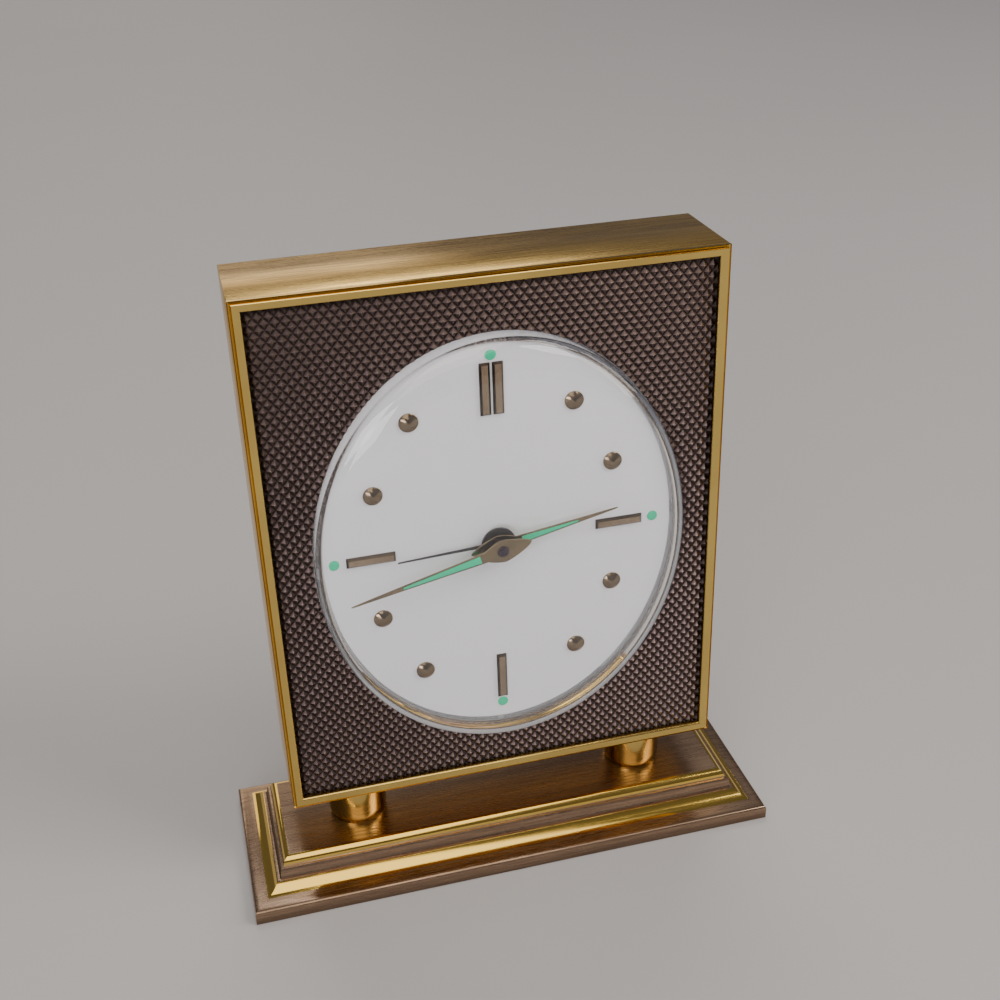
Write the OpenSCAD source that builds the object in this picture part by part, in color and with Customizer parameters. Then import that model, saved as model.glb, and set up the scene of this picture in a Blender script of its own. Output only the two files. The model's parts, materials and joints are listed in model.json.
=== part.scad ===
// Mechanical alarm clock: a rectangular brass case on a moulded plinth,
// with an upright oval dial, a wound going train and a wound alarm train.
// Millimetres. +X is the viewer's right, -Y faces the viewer, +Z is up.
// The origin is the centre of the plinth's underside.
// Depths are counted backwards from the case's front plane.

/* [Plinth] */
// Width of the plinth
plinth_w = 99.2; // [92:0.2:110]
// Depth of the plinth, front to back
plinth_d = 35.6; // [33:0.2:42]
// Height of the plinth
plinth_h = 8.3; // [7.6:0.1:10]
// Height of the upright lip at the plinth's foot
plinth_lip_h = 2.5; // [2.2:0.1:2.8]
// Thickness of the plinth's top wall
plinth_top_t = 1.2; // [0.8:0.1:1.6]
// Thickness of the plinth's rim round the base plate
plinth_rim_t = 1.3; // [1:0.1:2]
// Thickness of the steel base plate
base_plate_t = 1.0; // [0.6:0.1:1.1]
// Thickness of the felt under the base plate
felt_t = 0.9; // [0.5:0.1:1]

/* [Feet] */
// Height of the two turned feet between plinth and case
foot_h = 9.6; // [8:0.1:13]
// Greatest diameter of a foot
foot_d = 11; // [9:0.2:12]
// Diameter of a foot where it meets the plinth and the case
foot_end_d = 9.8; // [8:0.2:10.6]
// Distance between the two feet
foot_spacing = 55.2; // [40:0.2:60]
// Diameter of the two long screws
foot_screw_d = 3; // [2.4:0.1:3.4]
// Diameter of a long screw's head and nut
foot_screw_head_d = 5.4; // [5:0.1:6]

/* [Case] */
// Width of the case
case_w = 80; // [79:0.5:86]
// Height of the case
case_h = 96.5; // [95.5:0.5:104]
// Depth of the case
case_d = 19; // [18.9:0.1:20]
// Wall of the brushed case band
case_wall = 1.5; // [1.1:0.1:1.6]
// How far the plinth stands out in front of the case
front_overhang = 7.95; // [7:0.05:8.4]
// Width of the polished front frame
lip_w = 1.9; // [1.8:0.1:2.4]
// Thickness of the polished front frame
lip_t = 1.2; // [0.8:0.1:1.3]
// Bevel along the front frame's outer edge
lip_bevel = 0.4; // [0.2:0.1:0.6]
// Thickness of the patterned front panel
panel_t = 0.6; // [0.5:0.1:0.7]
// Thickness of the back cover
cover_t = 1; // [0.6:0.1:1.1]
// Diameter of the pillars in the case's corners
post_d = 5; // [4:0.1:5.6]
// Gap between a corner pillar and the case's inner wall
post_inset = 1; // [0.5:0.1:1.6]
// Diameter of the back cover's screws
cover_screw_d = 2; // [1.6:0.1:2.2]

/* [Glass and dial] */
// Width of the oval glass
glass_w = 64.2; // [63:0.2:66]
// Height of the oval glass
glass_h = 76.8; // [74:0.2:80]
// How far the glass sits to the right of the dial's centre
glass_right = 0.6; // [0:0.1:0.8]
// How far the glass sits below the dial's centre
glass_low = 0.3; // [0:0.1:0.6]
// How far the glass's upright edge stands out of the case front
glass_proud = 1; // [0.4:0.1:1.2]
// Rise of the domed glass above its edge
glass_rise = 3.6; // [3.6:0.1:4.2]
// Thickness of the glass
glass_t = 1.1; // [0.8:0.1:1.2]
// Width and thickness of the flange that holds the glass
glass_flange = 0.6; // [0.5:0.1:0.7]
// Thickness of the dial
dial_t = 0.5; // [0.4:0.1:0.6]
// How far the dial reaches past the glass
dial_margin = 2.4; // [1.5:0.1:3]
// Width of a baton marker
baton_w = 1.8; // [1.4:0.1:2]
// Height of a baton marker
baton_t = 0.6; // [0.3:0.1:0.7]
// Diameter of a round marker
stud_d = 3.3; // [2.6:0.1:3.6]
// Diameter of a luminous dot
dot_d = 1.9; // [1.5:0.1:2.2]

/* [Hands] */
// Length of the minute hand
minute_len = 27; // [24:0.5:27.5]
// Length of the hour hand
hour_len = 21.4; // [18:0.2:24]
// Length of the alarm hand
alarm_len = 17.6; // [14:0.2:20]
// Greatest width of the minute hand
minute_w = 1.9; // [1.6:0.1:2.2]
// Greatest width of the hour hand
hour_w = 1.7; // [1.5:0.1:2]
// Thickness of a hand
hand_t = 0.3; // [0.2:0.05:0.35]
// Minutes that the minute hand shows at rest
rest_minutes = 42.8; // [0:0.1:60]
// Direction of the hour hand at rest, clockwise from twelve
rest_hour_angle = 79.3; // [0:0.1:360]
// Direction of the alarm hand at rest, clockwise from twelve
rest_alarm_angle = 267.3; // [0:0.1:360]

/* [Movement] */
// Thickness of each movement plate
plate_t = 1.2; // [1:0.1:1.3]
// Gap between the two movement plates
plate_gap = 7.6; // [7.5:0.05:7.8]
// Gap between the dial and the front movement plate
motion_gap = 2.6; // [2.55:0.05:2.7]
// Gap between the movement plates and the case's side walls
plate_side_gap = 3.5; // [1.5:0.25:4.5]
// Gap between the movement plates and the case's top and bottom walls
plate_end_gap = 4.75; // [2.75:0.25:6.75]
// Thickness of a toothed wheel
wheel_t = 0.45; // [0.3:0.05:0.5]
// Diameter of the movement's thin arbors
arbor_d = 1.4; // [1.1:0.1:1.6]
// Diameter of the winding arbors
winding_arbor_d = 3; // [2.6:0.1:3.4]
// Outer radius of the ratchet wheels
ratchet_r = 5.6; // [5:0.1:6]
// Outer diameter of the balance
balance_d = 15; // [13:0.2:16]

/* [Back] */
// Diameter of the two setting knobs
knob_d = 9; // [7:0.2:10]
// Length of the two setting knobs
knob_len = 4.5; // [3:0.1:5.5]
// Diameter of a winding key's hub
key_hub_d = 6; // [5:0.1:7]
// Length of a folding key's wing from its pin
key_wing_len = 11.5; // [9:0.1:13]
// Width of a folding key's wing
key_wing_w = 12; // [11:0.1:14]
// Thickness of a folding key's wing
key_wing_t = 1.8; // [1.2:0.1:2.2]
// Diameter of the alarm stop button
button_d = 6; // [4:0.1:7]
// Travel of the alarm stop button
button_travel = 1.4; // [0.8:0.1:1.5]

/* [Hidden] */
$fn = 64;

// Clearance of a shaft that turns in a hole, on the radius
run_fit = 0.05;
// Gap between pieces that move past each other
free_gap = 0.3;
// Gap round a panel or plate that is laid into a frame
lay_gap = 0.1;

// Places that follow from the sizes above
glass_at = [glass_right, -glass_low];
foot_z = plinth_h;
case_z = plinth_h + foot_h;
case_front = -plinth_d / 2 + front_overhang;
case_mid_y = case_front + case_d / 2;
dial_z = case_z + case_h / 2;
inner_w = case_w - 2 * case_wall;
inner_h = case_h - 2 * case_wall;
plate_w = inner_w - 2 * plate_side_gap;
plate_h = inner_h - 2 * plate_end_gap;
post_x = inner_w / 2 - post_inset - post_d / 2;
post_z = inner_h / 2 - post_inset - post_d / 2;
corners = [[-1, -1], [1, -1], [1, 1], [-1, 1]];

// Depths, counted backwards from the case's front plane
panel_d0 = lip_t;
flange_d0 = panel_d0 + panel_t;
dial_d0 = flange_d0 + glass_flange;
dial_d1 = dial_d0 + dial_t;
main_d0 = dial_d1 + motion_gap;
main_d1 = main_d0 + plate_t;
rear_d0 = main_d1 + plate_gap;
rear_d1 = rear_d0 + plate_t;
cover_d1 = case_d - 0.1;
cover_d0 = cover_d1 - cover_t;

// Heights of the hands in front of the dial
alarm_hand_d = dial_d0 - 1.4;
hour_hand_d = dial_d0 - 2.4;
minute_hand_d = dial_d0 - 4.3;

// Tooth counts and modules of the wheels that mesh
pressure_angle = 25;
backlash = 0.16;
addendum = 0.8;
dedendum = 1.05;
motion_m = 0.5;
cannon_n = 12;
minute_wheel_n = 36;
set_pinion_n = 12;
minute_pinion_n = 10;
hour_wheel_n = 40;
hour_m = (cannon_n + minute_wheel_n) * motion_m / (minute_pinion_n + hour_wheel_n);
alarm_m = 0.6;
alarm_wheel_n = 66;
alarm_pinion_n = 14;
barrel_n = 72;
barrel_m = 0.5;
centre_pinion_n = 12;
centre_n = 60;
centre_m = 0.4;
third_pinion_n = 10;
third_n = 60;
third_m = 0.35;
fourth_pinion_n = 10;
fourth_n = 60;
fourth_m = 0.3;
escape_pinion_n = 10;
alarm_barrel_n = 60;
alarm_barrel_m = 0.4;
alarm_escape_pinion_n = 10;
escape_teeth = 15;
ratchet_teeth = 24;

// Directions between arbors, anticlockwise from +X as seen from the front
set_dir = 135;
alarm_set_dir = 45;
barrel_dir = 222.5;
third_dir = 90;
fourth_dir = 105;
escape_dir = 15;
lever_dir = 8;
alarm_escape_dir = 285;
hammer_dir = 195;

// Arbor places, from the dial's centre
function polar(r, a) = [r * cos(a), r * sin(a)];
centre_at = [0, 0];
minute_wheel_at = polar((cannon_n + minute_wheel_n) * motion_m / 2, set_dir);
time_set_at = minute_wheel_at + polar((minute_wheel_n + set_pinion_n) * motion_m / 2, set_dir);
alarm_set_at = polar((alarm_wheel_n + alarm_pinion_n) * alarm_m / 2, alarm_set_dir);
barrel_at = polar((barrel_n + centre_pinion_n) * barrel_m / 2, barrel_dir);
third_at = polar((centre_n + third_pinion_n) * centre_m / 2, third_dir);
fourth_at = third_at + polar((third_n + fourth_pinion_n) * third_m / 2, fourth_dir);
escape_at = fourth_at + polar((fourth_n + escape_pinion_n) * fourth_m / 2, escape_dir);
escape_r = 4.6;
lever_reach = 1.6;
lever_at = escape_at + polar(escape_r + lever_reach, lever_dir);
balance_reach = 8.6;
hairspring_r = 4.8;
balance_window = 2 * hairspring_r + 2.2;
balance_at = lever_at + polar(balance_reach, lever_dir);
alarm_barrel_at = [17.5, barrel_at[1]];
alarm_escape_at = alarm_barrel_at + polar((alarm_barrel_n + alarm_escape_pinion_n) * alarm_barrel_m / 2, alarm_escape_dir);
alarm_escape_r = 5;
hammer_at = alarm_escape_at + polar(alarm_escape_r + 3.6, hammer_dir);
hammer_arm = 12;
hammer_arm_dir = 200;
hammer_head_at = hammer_at + polar(hammer_arm, hammer_arm_dir);
hammer_head_d = 4;
gong_stud_d = 3;
hammer_gap = 1.2;
gong_stud_at = hammer_head_at + polar((hammer_head_d + gong_stud_d) / 2 + hammer_gap, hammer_arm_dir + 90);
button_at = [-20, 31];
pillar_at = [[-31, 8], [31, 6], [-27, 37], [30, -37], [-27, -37]];
pillar_d = 4.4;
rest_minute_angle = 90 - rest_minutes * 6;

// Depths of the wheels between the plates
barrel_wheel_d = main_d1 + 0.7;
barrel_d1 = rear_d0 - 1.9;
centre_wheel_d = rear_d0 - 1.2;
third_wheel_d = rear_d0 - 2.5;
fourth_wheel_d = rear_d0 - 3.9;
escape_wheel_d = rear_d0 - 1.6;
balance_depth = main_d1 + 1.6;

// Solids that lie between two depths, from a flat shape seen from the front
module slab(at, near, far) {
    translate([at[0], case_front + far, dial_z + at[1]])
        rotate([90, 0, 0])
            linear_extrude(far - near) children();
}
module rod(at, near, far, d) { slab(at, near, far) circle(d = d); }
module rounded_plate(w, h, r) {
    square([w - 2 * r, h], center = true);
    square([w, h - 2 * r], center = true);
    for (s = corners) translate([s[0] * (w / 2 - r), s[1] * (h / 2 - r)]) circle(r);
}

// An oval, as points round its edge
function oval(w, h, steps = 96) = [for (i = [0 : steps - 1]) let (a = i * 360 / steps) [w / 2 * cos(a), h / 2 * sin(a)]];

// Involute teeth
function involute(a) = tan(a) * 180 / PI - a;
function half_tooth(r, n, m) =
    let (base = n * m / 2 * cos(pressure_angle), a = r > base ? acos(base / r) : 0)
    90 / n * (1 - backlash) + involute(pressure_angle) - involute(a);
function tooth(n, m) =
    let (pitch = n * m / 2, tip = pitch + addendum * m, root = pitch - dedendum * m, low = half_tooth(root, n, m) * 0.86)
    [[root, -low], [pitch, -half_tooth(pitch, n, m)], [tip, -half_tooth(tip, n, m)],
        [tip, half_tooth(tip, n, m)], [pitch, half_tooth(pitch, n, m)], [root, low]];
function gear_points(n, m, turn) =
    [for (i = [0 : n - 1]) for (p = tooth(n, m)) polar(p[0], turn + i * 360 / n + p[1])];
// Turn of a wheel that meshes with one whose turn is known
function mesh_turn(toward, turn, n_from, n_to) =
    toward + 180 - 180 / n_to + (toward - turn) * n_from / n_to;

module gear(n, m, turn = 0) { polygon(gear_points(n, m, turn)); }
module crossed_gear(n, m, turn, hub_r, spokes) {
    rim = n * m / 2 - 2.4 * m;
    difference() {
        gear(n, m, turn);
        difference() {
            circle(rim);
            circle(hub_r);
            for (i = [0 : spokes - 1]) rotate(i * 360 / spokes) translate([0, -0.5]) square([rim + 1, 1]);
        }
    }
}
// Pointed teeth, with the steep side facing clockwise (lean 1) or anticlockwise (lean -1)
module saw(n, tip, root, turn, lean) {
    polygon([for (i = [0 : n - 1]) for (r = lean > 0 ? [root, tip] : [tip, root]) polar(r, turn + i * 360 / n)]);
}
module bar(from, to, w) {
    run = to - from;
    translate(from) rotate(atan2(run[1], run[0])) translate([0, -w / 2]) square([norm(run), w]);
}

// A spiral ribbon between two radii
module spiral(r0, r1, turns, t) {
    steps = turns * 20;
    inner = [for (i = [0 : steps]) polar(r0 + (r1 - r0) * i / steps, i * 18)];
    outer = [for (i = [steps : -1 : 0]) polar(r0 + t + (r1 - r0) * i / steps, i * 18)];
    polygon(concat(inner, outer));
}

// Turns of the wheels at rest, so that all teeth are in mesh
cannon_turn = 0;
minute_wheel_turn = mesh_turn(set_dir, cannon_turn, cannon_n, minute_wheel_n);
set_pinion_turn = mesh_turn(set_dir, minute_wheel_turn, minute_wheel_n, set_pinion_n);
minute_pinion_turn = 0;
hour_wheel_turn = mesh_turn(set_dir + 180, minute_pinion_turn, minute_pinion_n, hour_wheel_n);
alarm_wheel_turn = 0;
alarm_pinion_turn = mesh_turn(alarm_set_dir, alarm_wheel_turn, alarm_wheel_n, alarm_pinion_n);
barrel_turn = 0;
centre_pinion_turn = mesh_turn(barrel_dir + 180, barrel_turn, barrel_n, centre_pinion_n);
centre_turn = 0;
third_pinion_turn = mesh_turn(third_dir, centre_turn, centre_n, third_pinion_n);
third_turn = 0;
fourth_pinion_turn = mesh_turn(fourth_dir, third_turn, third_n, fourth_pinion_n);
fourth_turn = 0;
escape_pinion_turn = mesh_turn(escape_dir, fourth_turn, fourth_n, escape_pinion_n);
alarm_barrel_turn = 0;
alarm_escape_pinion_turn = mesh_turn(alarm_escape_dir, alarm_barrel_turn, alarm_barrel_n, alarm_escape_pinion_n);

// Plinth: one moulded section, mitred at its corners
plinth_section = [[0, 0], [0, plinth_lip_h], [0.35, plinth_lip_h + 0.3], [1.8, plinth_lip_h + 0.45],
    [3.3, plinth_lip_h + 0.8], [4.1, plinth_lip_h + 1.3], [4.6, plinth_lip_h + 1.9], [4.8, plinth_lip_h + 2.2],
    [5.3, plinth_lip_h + 2.3], [5.5, plinth_lip_h + 2.7], [5.6, plinth_h - 2], [5.8, plinth_h - 1.6],
    [6.2, plinth_h - 1.4], [6.3, plinth_h - 0.9], [6.6, plinth_h - 0.5], [7, plinth_h - 0.25],
    [7.5, plinth_h - 0.25], [7.7, plinth_h]];
function mirrored_section(width) = concat(
    [for (p = plinth_section) [-width / 2 + p[0], p[1]]],
    [for (i = [len(plinth_section) - 1 : -1 : 0]) [width / 2 - plinth_section[i][0], plinth_section[i][1]]]);
plinth_cavity_inset = 7;

module plinth_shell() {
    color("goldenrod") difference() {
        intersection() {
            translate([0, plinth_d / 2, 0]) rotate([90, 0, 0]) linear_extrude(plinth_d) polygon(mirrored_section(plinth_w));
            translate([-plinth_w / 2, 0, 0]) rotate([90, 0, 90]) linear_extrude(plinth_w) polygon(mirrored_section(plinth_d));
        }
        translate([0, 0, -1]) linear_extrude(1 + felt_t + base_plate_t)
            square([plinth_w - 2 * plinth_rim_t, plinth_d - 2 * plinth_rim_t], center = true);
        linear_extrude(plinth_h - plinth_top_t)
            square([plinth_w - 2 * plinth_cavity_inset, plinth_d - 2 * plinth_cavity_inset], center = true);
        for (s = [-1, 1]) translate([s * foot_spacing / 2, case_mid_y, 0]) cylinder(d = foot_screw_d + 0.2, h = plinth_h + 1);
    }
}
module plinth_plate() {
    color("silver") translate([0, 0, felt_t]) linear_extrude(base_plate_t)
        square([plinth_w - 2 * plinth_rim_t - 2 * lay_gap, plinth_d - 2 * plinth_rim_t - 2 * lay_gap], center = true);
}
module felt_pad() {
    color("darkgreen") linear_extrude(felt_t)
        square([plinth_w - 2 * plinth_rim_t - 2 * lay_gap, plinth_d - 2 * plinth_rim_t - 2 * lay_gap], center = true);
}
foot_screw_head_h = 1.8;
foot_nut_h = 1.8;
module plinth_screws() {
    color("gray") for (s = [-1, 1]) translate([s * foot_spacing / 2, case_mid_y, 0]) {
        translate([0, 0, plinth_h - plinth_top_t - foot_screw_head_h]) difference() {
            cylinder(d = foot_screw_head_d, h = foot_screw_head_h);
            translate([-foot_screw_head_d / 2, -0.4, -1]) cube([foot_screw_head_d, 0.8, 1.7]);
        }
        translate([0, 0, plinth_h - plinth_top_t - 0.01])
            cylinder(d = foot_screw_d, h = plinth_top_t + foot_h + case_wall + foot_nut_h + 0.6);
    }
}
module foot_nuts() {
    color("silver") for (s = [-1, 1]) translate([s * foot_spacing / 2, case_mid_y, case_z + case_wall]) difference() {
        cylinder(d = foot_screw_head_d, h = foot_nut_h, $fn = 6);
        translate([0, 0, -1]) cylinder(d = foot_screw_d + 2 * run_fit, h = foot_nut_h + 2);
    }
}
// A turned foot: an upright drum whose two edges are rounded over
foot_round_h = 1.8;
module foot(side) {
    swell = (foot_d - foot_end_d) / 2;
    edge = [for (a = [0 : 15 : 90]) [foot_end_d / 2 + swell * sin(a), foot_round_h * (1 - cos(a))]];
    color("gold") translate([side * foot_spacing / 2, case_mid_y, foot_z]) difference() {
        rotate_extrude() polygon(concat([[0, 0]], edge,
            [for (i = [len(edge) - 1 : -1 : 0]) [edge[i][0], foot_h - edge[i][1]]], [[0, foot_h]]));
        translate([0, 0, -1]) cylinder(d = foot_screw_d + 0.2, h = foot_h + 2);
    }
}
module foot_left() { foot(-1); }
module foot_right() { foot(1); }

// Case: a brushed band, a polished front frame and a patterned panel
module case_band() {
    color("darkgoldenrod") difference() {
        slab([0, 0], lip_t, case_d) difference() {
            square([case_w, case_h], center = true);
            square([inner_w, inner_h], center = true);
        }
        for (s = [-1, 1]) translate([s * foot_spacing / 2, case_mid_y, case_z - 1]) cylinder(d = foot_screw_d + 0.2, h = case_wall + 2);
    }
}
module front_frame() {
    color("gold") difference() {
        intersection() {
            translate([0, case_front, case_z]) linear_extrude(case_h) polygon([[-case_w / 2, lip_t], [case_w / 2, lip_t],
                [case_w / 2, lip_bevel], [case_w / 2 - lip_bevel, 0], [-case_w / 2 + lip_bevel, 0], [-case_w / 2, lip_bevel]]);
            translate([-case_w / 2, case_front, dial_z]) rotate([90, 0, 90]) linear_extrude(case_w)
                polygon([[lip_t, -case_h / 2], [lip_t, case_h / 2], [lip_bevel, case_h / 2],
                    [0, case_h / 2 - lip_bevel], [0, -case_h / 2 + lip_bevel], [lip_bevel, -case_h / 2]]);
        }
        slab([0, 0], -1, lip_t + 1) square([case_w - 2 * lip_w, case_h - 2 * lip_w], center = true);
    }
}
module front_panel() {
    color([0.26, 0.2, 0.18]) slab([0, 0], panel_d0, panel_d0 + panel_t) difference() {
        square([inner_w - 2 * lay_gap, inner_h - 2 * lay_gap], center = true);
        translate(glass_at) polygon(oval(glass_w + 2 * lay_gap, glass_h + 2 * lay_gap));
    }
}

// The glass: an upright oval edge with a dome over it
function dome_height(s) = glass_rise * sqrt(1 - pow(s, 4));
dome_rings = [1, 0.99, 0.96, 0.9, 0.8, 0.64, 0.44, 0.18];
glass_points = 60;
module glass_body(inset, back) {
    hull() {
        slab(glass_at, -glass_proud + inset, back) polygon(oval(glass_w - 2 * inset, glass_h - 2 * inset, glass_points));
        for (s = dome_rings) slab(glass_at, -glass_proud - dome_height(s) + inset, -glass_proud - dome_height(s) + inset + 0.05)
            polygon(oval((glass_w - 2 * inset) * s, (glass_h - 2 * inset) * s, glass_points));
    }
}
module glass() {
    color([0.85, 0.92, 0.95, 0.35]) union() {
        difference() {
            glass_body(0, dial_d0);
            glass_body(glass_t, dial_d0 + 1);
        }
        slab(glass_at, flange_d0, dial_d0) difference() {
            polygon(oval(glass_w + 2 * glass_flange, glass_h + 2 * glass_flange, glass_points));
            polygon(oval(glass_w - glass_t, glass_h - glass_t, glass_points));
        }
    }
}

// Dial and its markers
dial_hole_d = 4.4;
dial_foot_at = [[-20, -26], [20, 26]];
dial_foot_d = 1.4;
module dial() {
    color("white") {
        slab([0, 0], dial_d0, dial_d1) difference() {
            polygon(oval(glass_w + 2 * dial_margin, glass_h + 2 * dial_margin));
            circle(d = dial_hole_d);
        }
        for (p = dial_foot_at) rod(p, dial_d1 - 0.01, main_d1 - 0.1, dial_foot_d);
    }
}
// Reach of the markers from the dial's centre
baton_out_z = 32.8;
baton_out_x = 26.1;
baton_len_z = 9.2;
baton_len_x = 8.4;
baton_pair = 2.2;
stud_r_near_12 = 27.9;
stud_r_near_3 = 23.9;
dot_z = 34.1;
dot_x = 28.2;
stud_t = 0.9;
// A baton with a roof-shaped top, from r0 outwards along +Y
module baton(len) {
    rotate([90, 0, 0]) translate([0, 0, -len]) linear_extrude(len)
        polygon([[-baton_w / 2, 0], [baton_w / 2, 0], [baton_w / 2, baton_t * 0.45], [baton_w * 0.16, baton_t],
            [-baton_w * 0.16, baton_t], [-baton_w / 2, baton_t * 0.45]]);
}
module marker_place(at, turn) {
    translate([at[0], case_front + dial_d0, dial_z + at[1]]) rotate([90, 0, 0]) rotate(turn) children();
}
module hour_markers() {
    color("tan") {
        for (s = [-1, 1]) marker_place([s * baton_pair / 2, baton_out_z - baton_len_z], 0) baton(baton_len_z);
        marker_place([0, -(baton_out_z - baton_len_z)], 180) baton(baton_len_z);
        for (s = [-1, 1]) marker_place([s * (baton_out_x - baton_len_x), 0], -s * 90) baton(baton_len_x);
        for (sx = [-1, 1], sz = [-1, 1], k = [0, 1])
            marker_place([sx * (k == 0 ? stud_r_near_12 * sin(30) : stud_r_near_3 * sin(60)),
                    sz * (k == 0 ? stud_r_near_12 * cos(30) : stud_r_near_3 * cos(60))], 0)
                rotate_extrude() polygon([[0, 0], [stud_d / 2, 0], [stud_d / 2, stud_t * 0.3], [0.12, stud_t], [0, stud_t]]);
    }
}
dot_t = 0.2;
module lume_dots() {
    color("palegreen") {
        for (s = [-1, 1]) rod([0, s * dot_z], dial_d0 - dot_t, dial_d0, dot_d);
        for (s = [-1, 1]) rod([s * dot_x, 0], dial_d0 - dot_t, dial_d0, dot_d);
    }
}

// Hands: a lance with a slot that holds the luminous inlay
centre_arbor_d = 1.2;
cannon_d = 2;
hour_tube_d = 2.8;
alarm_tube_d = 3.6;
lume_start = 4;
module blade_outline(len, w) {
    polygon([[0, w * 0.36], [lume_start - 1, w / 2], [len * 0.66, w * 0.22], [len, 0.06],
        [len, -0.06], [len * 0.66, -w * 0.22], [lume_start - 1, -w / 2], [0, -w * 0.36]]);
}
module lume_outline(len, w) {
    border = 0.34;
    reach = len * 0.66;
    start = lume_start;
    slope = (w / 2 - w * 0.22) / (reach - lume_start + 1);
    start_w = w / 2 - border - slope * (start - lume_start + 1);
    end_w = max(0.08, w * 0.22 - border);
    polygon([[start, start_w], [reach, end_w], [reach, -end_w], [start, -start_w]]);
}
module hand(at_d, angle, len, w, hub_d, bore_d) {
    difference() {
        union() {
            slab([0, 0], at_d, at_d + hand_t) rotate(angle) blade_outline(len, w);
            rod([0, 0], at_d - 0.1, at_d + hand_t + 0.1, hub_d);
        }
        rod([0, 0], at_d - 1, at_d + 1, bore_d);
        slab([0, 0], at_d - 1, at_d + 1) rotate(angle) lume_outline(len, w);
    }
}
hub_fit = 0.01;
minute_hub_d = 3.7;
hour_hub_d = 4;
alarm_hub_d = 5.4;
module minute_hand() { color("darkkhaki") hand(minute_hand_d, rest_minute_angle, minute_len, minute_w, minute_hub_d, cannon_d + 2 * hub_fit); }
module minute_hand_lume() {
    color("mediumspringgreen") slab([0, 0], minute_hand_d + 0.05, minute_hand_d + hand_t) rotate(rest_minute_angle) lume_outline(minute_len, minute_w);
}
module hour_hand() { color("darkkhaki") hand(hour_hand_d, 90 - rest_hour_angle, hour_len, hour_w, hour_hub_d, hour_tube_d + 2 * hub_fit); }
module hour_hand_lume() {
    color("mediumspringgreen") slab([0, 0], hour_hand_d + 0.05, hour_hand_d + hand_t) rotate(90 - rest_hour_angle) lume_outline(hour_len, hour_w);
}
module alarm_hand() {
    color([0.12, 0.12, 0.16]) difference() {
        union() {
            slab([0, 0], alarm_hand_d, alarm_hand_d + hand_t) rotate(90 - rest_alarm_angle)
                polygon([[0, 0.35], [alarm_len, 0.1], [alarm_len, -0.1], [0, -0.35]]);
            rod([0, 0], alarm_hand_d - 0.05, alarm_hand_d + hand_t, alarm_hub_d);
        }
        rod([0, 0], alarm_hand_d - 1, alarm_hand_d + 1, alarm_tube_d + 2 * hub_fit);
    }
}

// Corner pillars that clamp the panel and carry the movement
post_stud_d = 2;
module front_posts() {
    color("darkkhaki") for (s = corners) slab([s[0] * post_x, s[1] * post_z], flange_d0, main_d0) difference() {
        circle(d = post_d);
        circle(d = post_stud_d + 2 * run_fit);
    }
}
module rear_posts() {
    color("darkkhaki") for (s = corners) {
        at = [s[0] * post_x, s[1] * post_z];
        difference() {
            rod(at, main_d1, cover_d0, post_d);
            rod(at, cover_d0 - 4, cover_d0 + 1, cover_screw_d + 2 * run_fit);
        }
        rod(at, main_d0 - 2, main_d1 + 0.01, post_stud_d);
    }
}

// Movement plates, with a hole for each arbor
function plate_arbors() = [third_at, fourth_at, escape_at, lever_at, alarm_escape_at, hammer_at];
pivot_d = 0.8;
staff_pivot_d = 0.5;
module pivot_holes() { for (p = plate_arbors()) translate(p) circle(d = pivot_d + 2 * run_fit); }
module lug(s) { bar([s[0] * (plate_w / 2 - 6), s[1] * (plate_h / 2 - 6)], [s[0] * post_x, s[1] * post_z], post_d - 1.2); }
module main_plate() {
    color("khaki") slab([0, 0], main_d0, main_d1) difference() {
        union() {
            rounded_plate(plate_w, plate_h, 4);
            for (s = corners) {
                lug(s);
                translate([s[0] * post_x, s[1] * post_z]) circle(d = post_d);
            }
        }
        for (s = corners) translate([s[0] * post_x, s[1] * post_z]) circle(d = post_stud_d + 2 * run_fit);
        for (p = dial_foot_at) translate(p) circle(d = dial_foot_d + 2 * run_fit);
        pivot_holes();
        translate(balance_at) circle(d = staff_pivot_d + 2 * run_fit);
        circle(d = arbor_d + 2 * run_fit);
        for (p = [time_set_at, alarm_set_at]) translate(p) circle(d = arbor_d + 2 * run_fit);
        for (p = [barrel_at, alarm_barrel_at]) translate(p) circle(d = winding_arbor_d * 0.6 + 2 * run_fit);
        translate(minute_wheel_at) circle(d = arbor_d + 2 * run_fit);
    }
}
module rear_plate() {
    color("khaki") slab([0, 0], rear_d0, rear_d1) difference() {
        rounded_plate(plate_w, plate_h, 4);
        for (s = corners) translate([s[0] * post_x, s[1] * post_z]) circle(d = post_d + 2 * free_gap);
        pivot_holes();
        circle(d = pivot_d + 2 * run_fit);
        translate(balance_at) circle(d = balance_window);
        for (p = [time_set_at, alarm_set_at]) translate(p) circle(d = arbor_d + 2 * run_fit);
        for (p = [barrel_at, alarm_barrel_at]) translate(p) circle(d = winding_arbor_d + 2 * run_fit);
        for (p = pillar_at) translate(p) circle(d = post_stud_d + 2 * run_fit);
        translate(cock_foot_at) circle(d = cock_screw_d + 2 * run_fit);
        for (p = [barrel_at, alarm_barrel_at]) translate(p + click_at) circle(d = click_stud_d + 2 * run_fit);
    }
}
module plate_pillars() {
    color("darkkhaki") for (p = pillar_at) difference() {
        rod(p, main_d1, rear_d0, pillar_d);
        rod(p, rear_d0 - 3, rear_d0 + 1, post_stud_d + 2 * run_fit);
    }
}
module pillar_screws() {
    color("steelblue") for (p = pillar_at) difference() {
        union() {
            rod(p, rear_d0 - 2.6, rear_d1 + 0.01, post_stud_d);
            rod(p, rear_d1, rear_d1 + 0.8, pillar_d - 0.6);
        }
        slab(p, rear_d1 + 0.4, rear_d1 + 1) square([pillar_d, 0.5], center = true);
    }
}

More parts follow.
